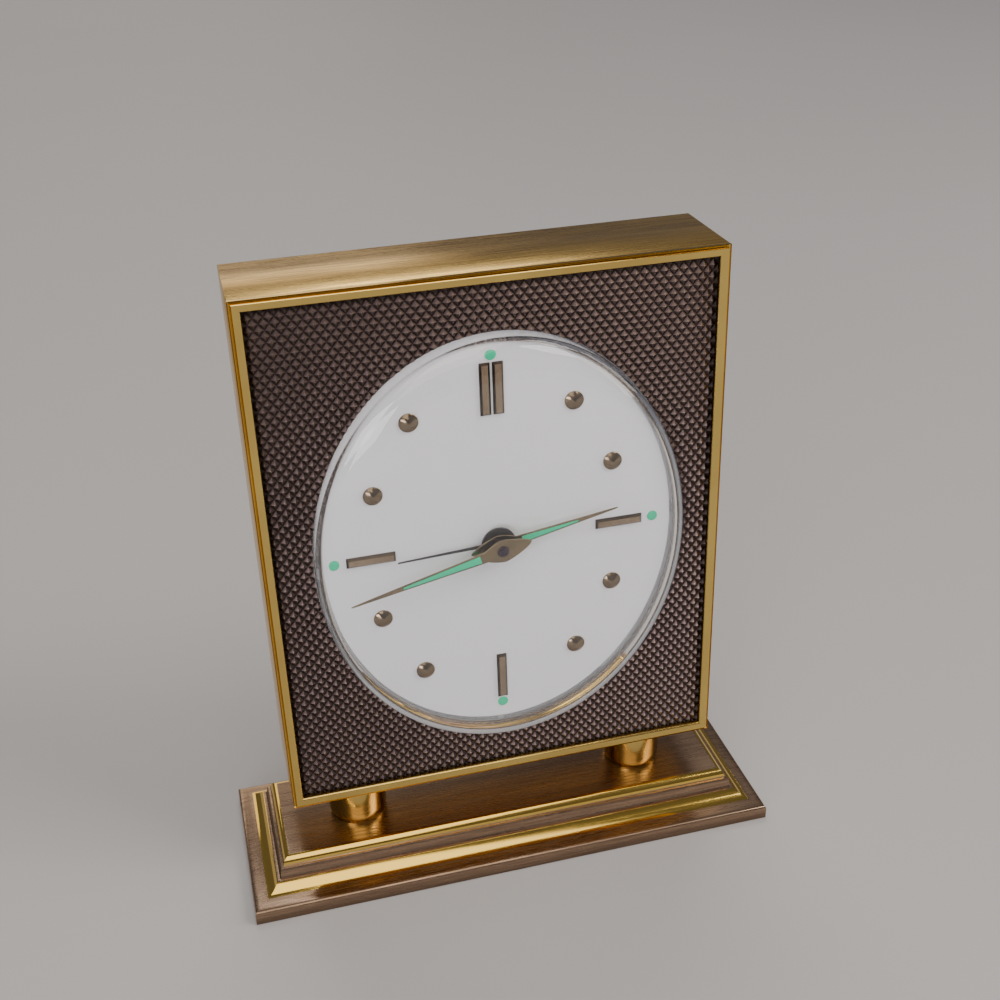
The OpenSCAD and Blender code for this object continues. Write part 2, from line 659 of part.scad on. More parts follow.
// A spring barrel: a drum with teeth round its front edge
barrel_r = barrel_n * barrel_m / 2 - 2;
barrel_wall = 0.6;
alarm_barrel_r = alarm_barrel_n * alarm_barrel_m / 2 - 1.6;
module barrel(at, n, m, turn, drum_r, arbor) {
    difference() {
        union() {
            slab(at, barrel_wheel_d, barrel_wheel_d + 0.8) gear(n, m, turn);
            rod(at, barrel_wheel_d, barrel_d1, 2 * drum_r);
        }
        rod(at, barrel_wheel_d + 0.8, barrel_d1 - 0.5, 2 * (drum_r - barrel_wall));
        rod(at, barrel_wheel_d - 1, barrel_d1 + 1, arbor + 2 * run_fit);
    }
}
module barrel_spring(at, drum_r, turns) {
    slab(at, barrel_wheel_d + 1, barrel_d1 - 0.7) spiral(winding_arbor_d / 2 + 0.6, drum_r - barrel_wall - 0.6, turns, 0.3);
}
module winding_arbor(at) {
    rod(at, main_d0 + 0.1, main_d1 + 0.11, winding_arbor_d * 0.6);
    rod(at, main_d1 + 0.1, rear_d1 + 2.1, winding_arbor_d);
    slab(at, rear_d1 + 2.09, cover_d1 + 1.9) square(winding_arbor_d * 0.7, center = true);
}
ratchet_root = ratchet_r - 0.7;
ratchet_d0 = rear_d1 + free_gap;
ratchet_t = 0.8;
module ratchet(at) {
    slab(at, ratchet_d0, ratchet_d0 + ratchet_t) difference() {
        saw(ratchet_teeth, ratchet_r, ratchet_root, 90, 1);
        circle(d = winding_arbor_d + 2 * hub_fit);
    }
}
// The click's place, from its ratchet's centre
click_at = [5.6, ratchet_r + 2.3];
click_stud_d = 1.4;
click_screw_d = 2.2;
module click(at) {
    difference() {
        union() {
            slab(at, ratchet_d0, ratchet_d0 + ratchet_t) union() {
                polygon([[free_gap, ratchet_root + 0.25], [click_at[0], click_at[1] - 0.8], [click_at[0], click_at[1] + 0.8],
                    [free_gap, ratchet_r + 0.7]]);
            }
            rod(at + click_at, ratchet_d0, ratchet_d0 + ratchet_t + 0.1, 3);
            rod(at + click_at, rear_d0 + 0.2, ratchet_d0 + 0.01, click_stud_d);
            rod(at + click_at, ratchet_d0 - 0.1, ratchet_d0 + ratchet_t + 0.4, click_screw_d);
        }
        slab(at + click_at, ratchet_d0 + ratchet_t + 0.2, ratchet_d0 + ratchet_t + 1) square([3, 0.4], center = true);
    }
}
module time_barrel() { color("goldenrod") barrel(barrel_at, barrel_n, barrel_m, barrel_turn, barrel_r, winding_arbor_d); }
module time_mainspring() { color("slategray") barrel_spring(barrel_at, barrel_r, 9); }
module time_arbor() { color("silver") winding_arbor(barrel_at); }
module time_ratchet() { color("silver") ratchet(barrel_at); }
module time_click() { color("silver") click(barrel_at); }
module alarm_barrel() { color("goldenrod") barrel(alarm_barrel_at, alarm_barrel_n, alarm_barrel_m, alarm_barrel_turn, alarm_barrel_r, winding_arbor_d); }
module alarm_mainspring() { color("slategray") barrel_spring(alarm_barrel_at, alarm_barrel_r, 6); }
module alarm_arbor() { color("silver") winding_arbor(alarm_barrel_at); }
module alarm_ratchet() { color("silver") ratchet(alarm_barrel_at); }
module alarm_click() { color("silver") click(alarm_barrel_at); }

// An arbor with a pivot in each plate
module arbor(at, d = arbor_d) {
    rod(at, main_d0 + 0.2, rear_d1 - 0.2, pivot_d);
    rod(at, main_d1 + 0.15, rear_d0 - 0.15, d);
}
pinion_over = 0.25;
module pinion(at, n, m, turn, wheel_d) {
    slab(at, wheel_d - pinion_over, wheel_d + wheel_t + pinion_over) gear(n, m, turn);
}
module centre_wheel() {
    color("goldenrod") {
        slab(centre_at, centre_wheel_d, centre_wheel_d + wheel_t) crossed_gear(centre_n, centre_m, centre_turn, 2, 5);
        slab(centre_at, barrel_wheel_d - 0.2, barrel_wheel_d + 1.4) gear(centre_pinion_n, barrel_m, centre_pinion_turn);
        rod(centre_at, main_d0 + 0.05, rear_d0 - 0.15, arbor_d);
        rod(centre_at, rear_d0 - 0.16, rear_d1 - 0.2, pivot_d);
        rod(centre_at, minute_hand_d - 0.25, main_d0 + 0.06, centre_arbor_d);
    }
}
module third_wheel() {
    color("goldenrod") {
        slab(third_at, third_wheel_d, third_wheel_d + wheel_t) crossed_gear(third_n, third_m, third_turn, 1.8, 5);
        pinion(third_at, third_pinion_n, centre_m, third_pinion_turn, centre_wheel_d);
        arbor(third_at);
    }
}
module fourth_wheel() {
    color("goldenrod") {
        slab(fourth_at, fourth_wheel_d, fourth_wheel_d + wheel_t) crossed_gear(fourth_n, fourth_m, fourth_turn, 1.6, 5);
        pinion(fourth_at, fourth_pinion_n, third_m, fourth_pinion_turn, third_wheel_d);
        arbor(fourth_at);
    }
}
module escape_wheel() {
    color("gold") {
        slab(escape_at, escape_wheel_d, escape_wheel_d + wheel_t) difference() {
            saw(escape_teeth, escape_r, escape_r - 1.3, lever_dir + 180 / escape_teeth, -1);
            difference() {
                circle(escape_r - 1.9);
                circle(1.1);
                for (a = [0 : 90 : 270]) rotate(a) translate([0, -0.3]) square([escape_r, 0.6]);
            }
        }
        pinion(escape_at, escape_pinion_n, fourth_m, escape_pinion_turn, fourth_wheel_d);
        arbor(escape_at, 1.1);
    }
}
// The lever stands between escape wheel and balance; its two stones clear the teeth at mid swing
stone_angle = 30;
stone_gap = 0.17;
roller_r = 1.2;
module pallet_lever() {
    stone_r = escape_r + stone_gap;
    hub = escape_r + lever_reach;
    color("silver") {
        slab(escape_at, escape_wheel_d, escape_wheel_d + wheel_t) rotate(lever_dir) {
            translate([hub, 0]) circle(1.1);
            for (s = [-1, 1]) {
                bar([hub, 0], polar(stone_r + 0.9, s * stone_angle), 0.8);
                rotate(s * stone_angle) translate([stone_r, -0.18]) square([1.1, 0.36]);
            }
            translate([hub, -0.35]) square([balance_reach - roller_r - 1.1, 0.7]);
            for (s = [-1, 1]) translate([hub + balance_reach - roller_r - 1.3, s * 0.5 - 0.25]) square([0.8, 0.5]);
        }
        arbor(lever_at, 1);
    }
}
balance_rim_t = 1;
hairspring_d = rear_d0 - 0.5;
module balance_wheel() {
    color("gold") {
        slab(balance_at, balance_depth, balance_depth + balance_rim_t) difference() {
            circle(d = balance_d);
            difference() {
                circle(d = balance_d - 1.8);
                circle(1.3);
                translate([-balance_d / 2, -0.6]) square([balance_d, 1.2]);
            }
        }
        rod(balance_at, escape_wheel_d - 0.1, escape_wheel_d + wheel_t + 0.1, 2 * roller_r);
        rod(balance_at, main_d1 + 0.15, hairspring_d + 0.7, 1);
        rod(balance_at, main_d0 + 0.2, cock_d1 - 0.3, staff_pivot_d);
    }
}
module hairspring() {
    color("slateblue") slab(balance_at, hairspring_d, hairspring_d + 0.35) spiral(0.62, hairspring_r, 8, 0.14);
}
// The cock reaches over the balance and holds its rear pivot
cock_d0 = rear_d1;
cock_d1 = rear_d1 + 1;
cock_foot_at = balance_at + polar(balance_window / 2 + 2.6, 160);
cock_screw_d = 1.6;
cock_boss_d = 2;
regulator_at_angle = 55;
module balance_cock() {
    color("khaki") {
        slab([0, 0], cock_d0, cock_d1) difference() {
            union() {
                bar(cock_foot_at, balance_at, 3.6);
                translate(balance_at) circle(2.2);
                translate(cock_foot_at) circle(2.3);
            }
            translate(balance_at) circle(d = staff_pivot_d + 2 * run_fit);
        }
        slab(balance_at, cock_d1 - 0.01, cock_d1 + 0.6) difference() {
            circle(d = cock_boss_d);
            circle(d = staff_pivot_d + 2 * run_fit);
        }
        rod(cock_foot_at, rear_d0 + 0.2, rear_d1 + 0.01, cock_screw_d);
        rod(balance_at + polar(hairspring_r + 0.25, 160), hairspring_d, cock_d0 + 0.01, 0.7);
    }
}
regulator_r = 6.4;
regulator_pin_d = 1.2;
regulator_half_range = 20;
module regulator_arm() {
    color("silver") {
        slab(balance_at, cock_d1 + 0.05, cock_d1 + 0.55) rotate(regulator_at_angle) difference() {
            union() {
                circle(1.9);
                translate([0, -0.5]) square([regulator_r, 1]);
            }
            circle(d = cock_boss_d + 2 * run_fit);
        }
        rod(balance_at + polar(regulator_r, regulator_at_angle), cock_d1 + 0.05, cock_d1 + 0.55, 1.8);
        rod(balance_at + polar(regulator_r, regulator_at_angle), cock_d1 + 0.05, cover_d1 + 0.9, regulator_pin_d);
    }
}

// Motion work between the dial and the front plate
alarm_wheel_d = dial_d1 + 0.1;
hour_wheel_d = alarm_wheel_d + wheel_t + 0.25;
minute_wheel_d = main_d0 - 0.15 - wheel_t - 0.1;
module cannon_pinion() {
    color("silver") difference() {
        union() {
            slab(centre_at, minute_wheel_d - 0.05, main_d0 - 0.1) gear(cannon_n, motion_m, cannon_turn);
            rod(centre_at, minute_hand_d - 0.1, minute_wheel_d, cannon_d);
        }
        rod(centre_at, minute_hand_d - 1, main_d0 + 1, centre_arbor_d + 2 * run_fit);
    }
}
module minute_wheel() {
    color("goldenrod") {
        slab(minute_wheel_at, minute_wheel_d, minute_wheel_d + wheel_t) crossed_gear(minute_wheel_n, motion_m, minute_wheel_turn, 2.6, 4);
        slab(minute_wheel_at, hour_wheel_d, minute_wheel_d + 0.01) gear(minute_pinion_n, hour_m, minute_pinion_turn);
        rod(minute_wheel_at, minute_wheel_d, main_d1 - 0.1, arbor_d);
    }
}
module hour_wheel() {
    color("goldenrod") difference() {
        union() {
            slab(centre_at, hour_wheel_d, hour_wheel_d + wheel_t) gear(hour_wheel_n, hour_m, hour_wheel_turn);
            rod(centre_at, hour_hand_d - 0.05, hour_wheel_d + wheel_t, hour_tube_d);
        }
        rod(centre_at, hour_hand_d - 1, hour_wheel_d + wheel_t + 1, cannon_d + 2 * run_fit);
    }
}
module alarm_wheel() {
    color("goldenrod") difference() {
        union() {
            slab(centre_at, alarm_wheel_d, alarm_wheel_d + wheel_t) crossed_gear(alarm_wheel_n, alarm_m, alarm_wheel_turn, 4, 5);
            rod(centre_at, alarm_hand_d - 0.05, alarm_wheel_d + wheel_t, alarm_tube_d);
        }
        rod(centre_at, alarm_hand_d - 1, alarm_wheel_d + wheel_t + 1, hour_tube_d + 2 * run_fit);
    }
}

// Alarm: a second escape wheel knocks the hammer to and fro
module alarm_escape_wheel() {
    color("gold") {
        slab(alarm_escape_at, escape_wheel_d, escape_wheel_d + wheel_t) saw(escape_teeth, alarm_escape_r, alarm_escape_r - 1.4, hammer_dir + 180 / escape_teeth, -1);
        pinion(alarm_escape_at, alarm_escape_pinion_n, alarm_barrel_m, alarm_escape_pinion_turn, barrel_wheel_d + 0.2);
        arbor(alarm_escape_at);
    }
}
hammer_verge_angle = 30;
hammer_depth = main_d1 + 1.2;
hammer_len = 5;
module alarm_hammer() {
    verge_r = alarm_escape_r + 0.35;
    color("silver") {
        slab(alarm_escape_at, escape_wheel_d, escape_wheel_d + wheel_t) for (s = [-1, 1])
            bar(hammer_at - alarm_escape_at, polar(verge_r + 0.4, hammer_dir + s * hammer_verge_angle), 0.8);
        slab([0, 0], hammer_depth, hammer_depth + 0.8) bar(hammer_at, hammer_head_at, 1.2);
        rod(hammer_head_at, hammer_depth - 0.4, hammer_depth - 0.4 + hammer_len, hammer_head_d);
        rod(hammer_at, escape_wheel_d, escape_wheel_d + wheel_t, 2.4);
        arbor(hammer_at);
    }
}
module gong_stud() {
    color("gray") {
        rod(gong_stud_at, main_d1, main_d1 + 6.2, gong_stud_d);
        rod(gong_stud_at, main_d1, main_d1 + 0.8, gong_stud_d + 1.6);
    }
}

// Back cover, with holes for all that passes through it
hole_gap = 0.4;
arc_steps = 10;
cap_steps = 6;
// A bowed slot with round ends, as points round its edge
function arc_slot(r, w, a0, a1) = concat(
    [for (i = [0 : arc_steps]) polar(r + w / 2, a0 + (a1 - a0) * i / arc_steps)],
    [for (i = [1 : cap_steps - 1]) polar(r, a1) + polar(w / 2, a1 + 180 * i / cap_steps)],
    [for (i = [arc_steps : -1 : 0]) polar(r - w / 2, a0 + (a1 - a0) * i / arc_steps)],
    [for (i = [1 : cap_steps - 1]) polar(r, a0) + polar(w / 2, a0 + 180 + 180 * i / cap_steps)]);
mark_w = 0.4;
mark_depth = 0.25;
mark_r = 9;
module plus_mark() {
    square([2, mark_w], center = true);
    square([mark_w, 2], center = true);
}
// A bowed arrow that shows which way a key winds
arrow_start = 160;
arrow_end = 25;
module arrow_mark(r) {
    polygon(concat([for (i = [0 : arc_steps]) polar(r + mark_w / 2, arrow_start + (arrow_end - arrow_start) * i / arc_steps)],
        [polar(r + 0.9, arrow_end), polar(r, arrow_end - 12), polar(r - 0.9, arrow_end)],
        [for (i = [arc_steps : -1 : 0]) polar(r - mark_w / 2, arrow_start + (arrow_end - arrow_start) * i / arc_steps)]));
}
module cover_marks() {
    translate(balance_at) {
        translate(polar(regulator_r, regulator_at_angle + regulator_half_range + 26)) plus_mark();
        translate(polar(regulator_r, regulator_at_angle - regulator_half_range - 26)) square([2, mark_w], center = true);
    }
    for (p = [barrel_at, alarm_barrel_at]) translate(p) mirror([1, 0, 0]) arrow_mark(mark_r);
}
module back_cover() {
    color("darkgoldenrod") difference() {
        slab([0, 0], cover_d0, cover_d1) cover_outline();
        slab([0, 0], cover_d1 - mark_depth, cover_d1 + 1) cover_marks();
    }
}
module cover_outline() {
    difference() {
        rounded_plate(inner_w - 2 * lay_gap, inner_h - 2 * lay_gap, 1);
        for (s = corners) translate([s[0] * post_x, s[1] * post_z]) circle(d = cover_screw_d + 2 * run_fit);
        for (p = [barrel_at, alarm_barrel_at]) translate(p) circle(d = winding_arbor_d + 2 * hole_gap);
        for (p = [time_set_at, alarm_set_at]) translate(p) circle(d = arbor_d + 2 * run_fit);
        translate(button_at) circle(d = button_stem_d + 2 * run_fit);
        translate(balance_at) polygon(arc_slot(regulator_r, regulator_pin_d + 2 * hole_gap,
            regulator_at_angle - regulator_half_range, regulator_at_angle + regulator_half_range));
    }
}
back_screw_head_d = 4;
module back_screws() {
    color("gold") for (s = corners) difference() {
        union() {
            rod([s[0] * post_x, s[1] * post_z], cover_d0 - 3.6, cover_d1 + 0.01, cover_screw_d);
            rod([s[0] * post_x, s[1] * post_z], cover_d1, cover_d1 + 0.9, back_screw_head_d);
        }
        slab([s[0] * post_x, s[1] * post_z], cover_d1 + 0.5, cover_d1 + 1.5) square([back_screw_head_d + 1, 0.7], center = true);
    }
}

// Folding winding keys: a hub on the arbor's square, and a wing that turns on a cross pin
key_d0 = cover_d1 + free_gap;
key_len = 5;
key_pin_d = 1;
key_pin_depth = key_d0 + 3.2;
module key(at) {
    color("gold") {
        difference() {
            rod(at, key_d0, key_d0 + key_len, key_hub_d);
            slab(at, key_d0 - 1, cover_d1 + 2) square(winding_arbor_d * 0.7 + 2 * hub_fit, center = true);
        }
        translate([at[0] - key_wing_w / 2 + 0.3, case_front + key_pin_depth, dial_z + at[1]]) rotate([0, 90, 0])
            cylinder(d = key_pin_d, h = key_wing_w - 0.6);
    }
}
module key_wing(at) {
    ear_in = key_hub_d / 2 + free_gap;
    reach_in = key_hub_d / 2 + free_gap + 0.5;
    color("gold") difference() {
        slab(at, key_pin_depth - key_wing_t / 2, key_pin_depth + key_wing_t / 2) difference() {
            union() {
                translate([-key_wing_w / 2, -key_wing_len + 4]) square([key_wing_w, key_wing_len - 4 + 1.4]);
                translate([-key_wing_w / 2 + 4, -key_wing_len]) square([key_wing_w - 8, 5]);
                for (s = [-1, 1]) translate([s * (key_wing_w / 2 - 4), -key_wing_len + 4]) circle(4);
            }
            translate([-ear_in, -reach_in]) square([2 * ear_in, reach_in + 3]);
            translate([0, -reach_in - (key_wing_len - reach_in) / 2]) circle(d = 2.6);
        }
        translate([at[0] - key_wing_w / 2 - 1, case_front + key_pin_depth, dial_z + at[1]]) rotate([0, 90, 0])
            cylinder(d = key_pin_d + 2 * run_fit, h = key_wing_w + 2);
    }
}
module time_key() { key(barrel_at); }
module time_key_wing() { key_wing(barrel_at); }
module alarm_key() { key(alarm_barrel_at); }
module alarm_key_wing() { key_wing(alarm_barrel_at); }

// Setting knobs, each in one piece with its arbor and pinion
knurls = 30;
module knob(at, n, m, turn, pinion_d0, pinion_d1) {
    color("gold") {
        slab(at, cover_d1 + free_gap, cover_d1 + free_gap + knob_len)
            polygon([for (i = [0 : 2 * knurls - 1]) polar(knob_d / 2 - (i % 2) * 0.25, i * 180 / knurls)]);
        rod(at, pinion_d0, cover_d1 + free_gap + 0.01, arbor_d);
        slab(at, pinion_d0, pinion_d1) gear(n, m, turn);
    }
}
module time_knob() { knob(time_set_at, set_pinion_n, motion_m, set_pinion_turn, minute_wheel_d - 0.05, main_d0 - 0.1); }
module alarm_knob() { knob(alarm_set_at, alarm_pinion_n, alarm_m, alarm_pinion_turn, alarm_wheel_d, alarm_wheel_d + wheel_t + 0.2); }

// Push button that stops the alarm
button_stem_d = 2.4;
module alarm_stop_button() {
    color("gold") {
        rod(button_at, cover_d1 + button_travel + 0.2, cover_d1 + button_travel + 2, button_d);
        rod(button_at, cover_d0 - 0.8, cover_d1 + button_travel + 0.3, button_stem_d);
        rod(button_at, cover_d0 - 0.7, cover_d0 - 0.1, button_stem_d + 1.4);
    }
}

plinth_shell();
plinth_plate();
felt_pad();
plinth_screws();
foot_nuts();
foot_left();
foot_right();
case_band();
front_frame();
front_panel();
glass();
dial();
hour_markers();
lume_dots();
minute_hand();
minute_hand_lume();
hour_hand();
hour_hand_lume();
alarm_hand();
front_posts();
rear_posts();
main_plate();
rear_plate();
plate_pillars();
pillar_screws();
time_barrel();
time_mainspring();
time_arbor();
time_ratchet();
time_click();
alarm_barrel();
alarm_mainspring();
alarm_arbor();
alarm_ratchet();
alarm_click();
centre_wheel();
third_wheel();
fourth_wheel();
escape_wheel();
pallet_lever();
balance_wheel();
hairspring();
balance_cock();
regulator_arm();
cannon_pinion();
minute_wheel();
hour_wheel();
alarm_wheel();
alarm_escape_wheel();
alarm_hammer();
gong_stud();
back_cover();
back_screws();
time_key();
time_key_wing();
alarm_key();
alarm_key_wing();
time_knob();
alarm_knob();
alarm_stop_button();
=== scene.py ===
"""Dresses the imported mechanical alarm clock: shapes, finishes, light and camera.

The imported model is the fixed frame. Every piece made here is in metres, in the
frame's own coordinates: +X to the viewer's right, -Y towards the viewer, +Z up,
with the origin under the middle of the plinth.
"""

import json
import logging
import math
from abc import ABC, abstractmethod
from collections.abc import Callable, Iterable, Sequence
from dataclasses import dataclass
from enum import Enum

import bmesh
import bpy
from bmesh.types import BMesh, BMEdge, BMVert
from mathutils import Matrix, Vector

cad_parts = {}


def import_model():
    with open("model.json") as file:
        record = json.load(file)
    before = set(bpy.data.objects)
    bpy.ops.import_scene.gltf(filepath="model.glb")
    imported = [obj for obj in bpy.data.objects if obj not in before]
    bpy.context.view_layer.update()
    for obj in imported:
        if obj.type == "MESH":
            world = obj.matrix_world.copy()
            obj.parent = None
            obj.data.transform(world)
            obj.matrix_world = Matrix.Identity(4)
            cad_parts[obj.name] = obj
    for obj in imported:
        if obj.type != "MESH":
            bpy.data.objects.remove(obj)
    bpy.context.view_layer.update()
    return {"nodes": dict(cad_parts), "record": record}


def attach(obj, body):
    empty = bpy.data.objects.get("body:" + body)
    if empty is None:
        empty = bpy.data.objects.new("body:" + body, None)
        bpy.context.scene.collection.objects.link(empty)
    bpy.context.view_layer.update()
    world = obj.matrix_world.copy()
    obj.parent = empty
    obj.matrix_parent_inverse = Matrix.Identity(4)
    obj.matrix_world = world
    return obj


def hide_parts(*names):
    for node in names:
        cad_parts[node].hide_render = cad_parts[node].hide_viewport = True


LOG = logging.getLogger("clock")
MM = 0.001
WELD = 1e-7
CUT = 1e-8
RIGHT, UP = Vector((1, 0, 0)), Vector((0, 0, 1))
FORWARD, BACKWARD = Vector((0, -1, 0)), Vector((0, 1, 0))

Point = tuple[float, float]
Color = tuple[float, float, float]
Socket = bpy.types.NodeSocket
Tree = bpy.types.NodeTree


class Body(Enum):
    """The moving bodies that new pieces ride on."""

    CASE = "case"
    MINUTE = "minute"
    HOUR = "hour"
    ALARM_POINTER = "alarm_pointer"
    TIME_WINDER = "time_winder"
    TIME_WING = "time_wing"
    TIME_SETTER = "time_setter"
    ALARM_WINDER = "alarm_winder"
    ALARM_WING = "alarm_wing"
    ALARM_SETTER = "alarm_setter"
    STOP_BUTTON = "stop_button"


# Shader helpers


def opaque(color: Color, share: float = 1.0) -> tuple[float, ...]:
    """A colour with full alpha, made darker or lighter by a share."""
    return (*[c * share for c in color], 1.0)


@dataclass
class NodeBook:
    """Adds nodes to one tree and joins them, so that a material reads as a list of steps."""

    tree: Tree

    def add(self, kind: str, inputs: dict[int | str, object] | None = None, **values: object) -> bpy.types.Node:
        """Adds a node, sets its properties and feeds its inputs.

        Args:
            kind: The node's type, such as ShaderNodeMath.
            inputs: Numbers, colours or sockets, by the input's place or name.
            values: Properties of the node, by name.

        Returns:
            The new node.
        """
        node = self.tree.nodes.new(kind)
        for name, value in values.items():
            setattr(node, name, value)
        for key, value in (inputs or {}).items():
            self.feed(node.inputs[key], value)
        return node

    def join(self, source: Socket, target: Socket) -> None:
        """Links one socket to another."""
        self.tree.links.new(source, target)

    def feed(self, target: Socket, value: object) -> None:
        """Sets a socket to a value, or links it where the value is a socket.

        Args:
            target: The input to feed.
            value: A number, a colour or an output socket.
        """
        if isinstance(value, Socket):
            self.join(value, target)
        else:
            target.default_value = value

    def maths(self, operation: str, first: object, second: object = 0.0) -> Socket:
        """The result of a Math node's operation on two numbers or sockets."""
        return self.add("ShaderNodeMath", {0: first, 1: second}, operation=operation).outputs[0]

    def times(self, first: object, second: object) -> Socket:
        """The product of two numbers or sockets."""
        return self.maths("MULTIPLY", first, second)

    def total(self, start: object, *masks: tuple[object, float]) -> Socket:
        """Adds weighted masks to a number.

        Args:
            start: The number or socket to start from.
            masks: Pairs of a mask and its weight.

        Returns:
            The sum.
        """
        for mask, weight in masks:
            start = self.maths("ADD", start, self.times(mask, weight))
        return start

    def ramp(self, value: object, low: float, high: float, to_low: float = 0.0, to_high: float = 1.0) -> Socket:
        """Maps a value from the range low to high to the range to_low to to_high, clamped."""
        numbers = dict(enumerate((value, low, high, to_low, to_high)))
        return self.add("ShaderNodeMapRange", numbers, clamp=True).outputs[0]

    def blend(self, share: object, first: object, second: object) -> Socket:
        """Mixes two colours by the share of the second."""
        inputs = {0: share, 6: first, 7: second}
        return self.add("ShaderNodeMix", inputs, data_type="RGBA", clamp_factor=True).outputs[2]

    def choose(self, share: object, first: object, second: object) -> Socket:
        """Mixes two numbers by the share of the second."""
        return self.add("ShaderNodeMix", {0: share, 2: first, 3: second}, data_type="FLOAT").outputs[0]

    def noise(self, vector: object, scale: object, detail: float = 2.0, roughness: float = 0.5) -> Socket:
        """A noise texture's value, with a scale per metre, a number of octaves and the finer ones' strength."""
        inputs = {"Vector": vector, "Scale": scale, "Detail": detail, "Roughness": roughness}
        return self.add("ShaderNodeTexNoise", inputs, noise_dimensions="3D").outputs["Fac"]

    def stretched(self, vector: object, scale: Sequence[float]) -> Socket:
        """Scales coordinates by a different number along each axis."""
        inputs = {"Vector": vector, "Scale": tuple(scale)}
        return self.add("ShaderNodeMapping", inputs, vector_type="POINT").outputs["Vector"]

    def axes(self, vector: Socket) -> Sequence[Socket]:
        """The X, Y and Z of a vector."""
        return self.add("ShaderNodeSeparateXYZ", {0: vector}).outputs

    def place(self) -> Socket:
        """The object's own coordinates, in metres."""
        return self.add("ShaderNodeTexCoord").outputs["Object"]

    def normal(self) -> Socket:
        """The surface's direction."""
        return self.add("ShaderNodeNewGeometry").outputs["Normal"]


@dataclass
class Effects:
    """The node groups that several finishes share.

    Scales are per metre. The lines and the slow streaks have one along them and one across.
    """

    line: Point = (85.0, 2300.0)
    streak: Point = (42.5, 1035.0)
    sideways: float = 0.6
    speck_scale: float = 420.0
    grain_scale: float = 9000.0

    def __post_init__(self) -> None:
        """Builds each group once."""
        self.lines = self._lines()
        self.wear = self._wear()

    @staticmethod
    def _group(name: str, inputs: dict[str, float], outputs: Iterable[str]) -> tuple[NodeBook, Sequence, Sequence]:
        """Starts a node group with named inputs and outputs.

        Args:
            name: The group's name.
            inputs: Defaults of the inputs, by name.
            outputs: Names of the outputs.

        Returns:
            A node book for the group, what its inputs give and where its outputs are fed.
        """
        tree = bpy.data.node_groups.new(name, "ShaderNodeTree")
        for label, value in inputs.items():
            socket = tree.interface.new_socket(name=label, in_out="INPUT", socket_type="NodeSocketFloat")
            socket.default_value = value
        for label in outputs:
            tree.interface.new_socket(name=label, in_out="OUTPUT", socket_type="NodeSocketFloat")
        book = NodeBook(tree)
        return book, book.add("NodeGroupInput").outputs, book.add("NodeGroupOutput").inputs

    def _lines(self) -> Tree:
        """Fine drawn lines along the width, or along another edge on faces that look sideways.

        Returns:
            A group that gives the lines' height and a slow streak mask.
        """
        book, given, results = self._group("drawn_lines", {"Upright": 0.0}, ["Height", "Streak"])
        place = book.place()
        sideways = book.maths("GREATER_THAN", book.maths("ABSOLUTE", book.axes(book.normal())[0]), self.sideways)
        kinds = (("Height", *self.line, 4.0, 0.75), ("Streak", *self.streak, 2.0, 0.5))
        for name, along, across, detail, roughness in kinds:
            ways = []
            for axis in range(3):
                scale = [along if i == axis else across for i in range(3)]
                ways.append(book.noise(book.stretched(place, scale), 1.0, detail, roughness))
            side = book.choose(given["Upright"], ways[1], ways[2])
            book.feed(results[name], book.choose(sideways, ways[0], side))
        return book.tree

    def _wear(self) -> Tree:
        """Soft patches and fine specks, for handling marks and dust.

        Returns:
            A group that gives a patch mask, a speck mask and a fine grain.
        """
        inputs = {"Patch size": 0.02, "Speck share": 0.1}
        book, given, results = self._group("handling", inputs, ["Patch", "Speck", "Grain"])
        place = book.place()
        cloudy = book.noise(place, book.maths("DIVIDE", 1.0, given["Patch size"]), 4.0)
        book.feed(results["Patch"], book.ramp(cloudy, 0.35, 0.7))
        inputs = {"Vector": place, "Scale": self.speck_scale}
        dots = book.add("ShaderNodeTexVoronoi", inputs, feature="F1", voronoi_dimensions="3D")
        near = book.maths("LESS_THAN", dots.outputs["Distance"], book.times(given["Speck share"], 0.5))
        tint = book.add("ShaderNodeSeparateColor", {0: dots.outputs["Color"]})
        book.feed(results["Speck"], book.times(near, book.maths("GREATER_THAN", tint.outputs[0], 0.8)))
        book.feed(results["Grain"], book.noise(place, self.grain_scale, 2.0, 0.6))
        return book.tree


class Surface(NodeBook):
    """A material being made: a node book with one Principled shader."""

    def __init__(self, name: str, effects: Effects | None = None) -> None:
        """Starts the material.

        Args:
            name: The material's name.
            effects: The shared node groups, where it needs them.
        """
        self.material = bpy.data.materials.new(name)
        self.material.use_nodes = True
        self.material.node_tree.nodes.clear()
        super().__init__(self.material.node_tree)
        self.effects = effects
        self.shader = self.add("ShaderNodeBsdfPrincipled")
        self.output = self.add("ShaderNodeOutputMaterial")
        self.join(self.shader.outputs[0], self.output.inputs[0])

    def give(self, **values: object) -> None:
        """Sets or links the shader's inputs, whose names have underscores for blanks."""
        for name, value in values.items():
            self.feed(self.shader.inputs[name.replace("_", " ")], value)

    def effect(self, tree: Tree, **values: float) -> Sequence[Socket]:
        """The outputs of a shared effect, whose inputs' names have underscores for blanks."""
        inputs = {name.replace("_", " "): value for name, value in values.items()}
        return self.add("ShaderNodeGroup", inputs, node_tree=tree).outputs

    def bump(self, height: object, strength: float, depth: float) -> None:
        """Feeds a height into the shader's normal, with a strength and a depth in metres."""
        inputs = {"Strength": strength, "Distance": depth, "Height": height}
        self.give(Normal=self.add("ShaderNodeBump", inputs).outputs["Normal"])


# Finishes


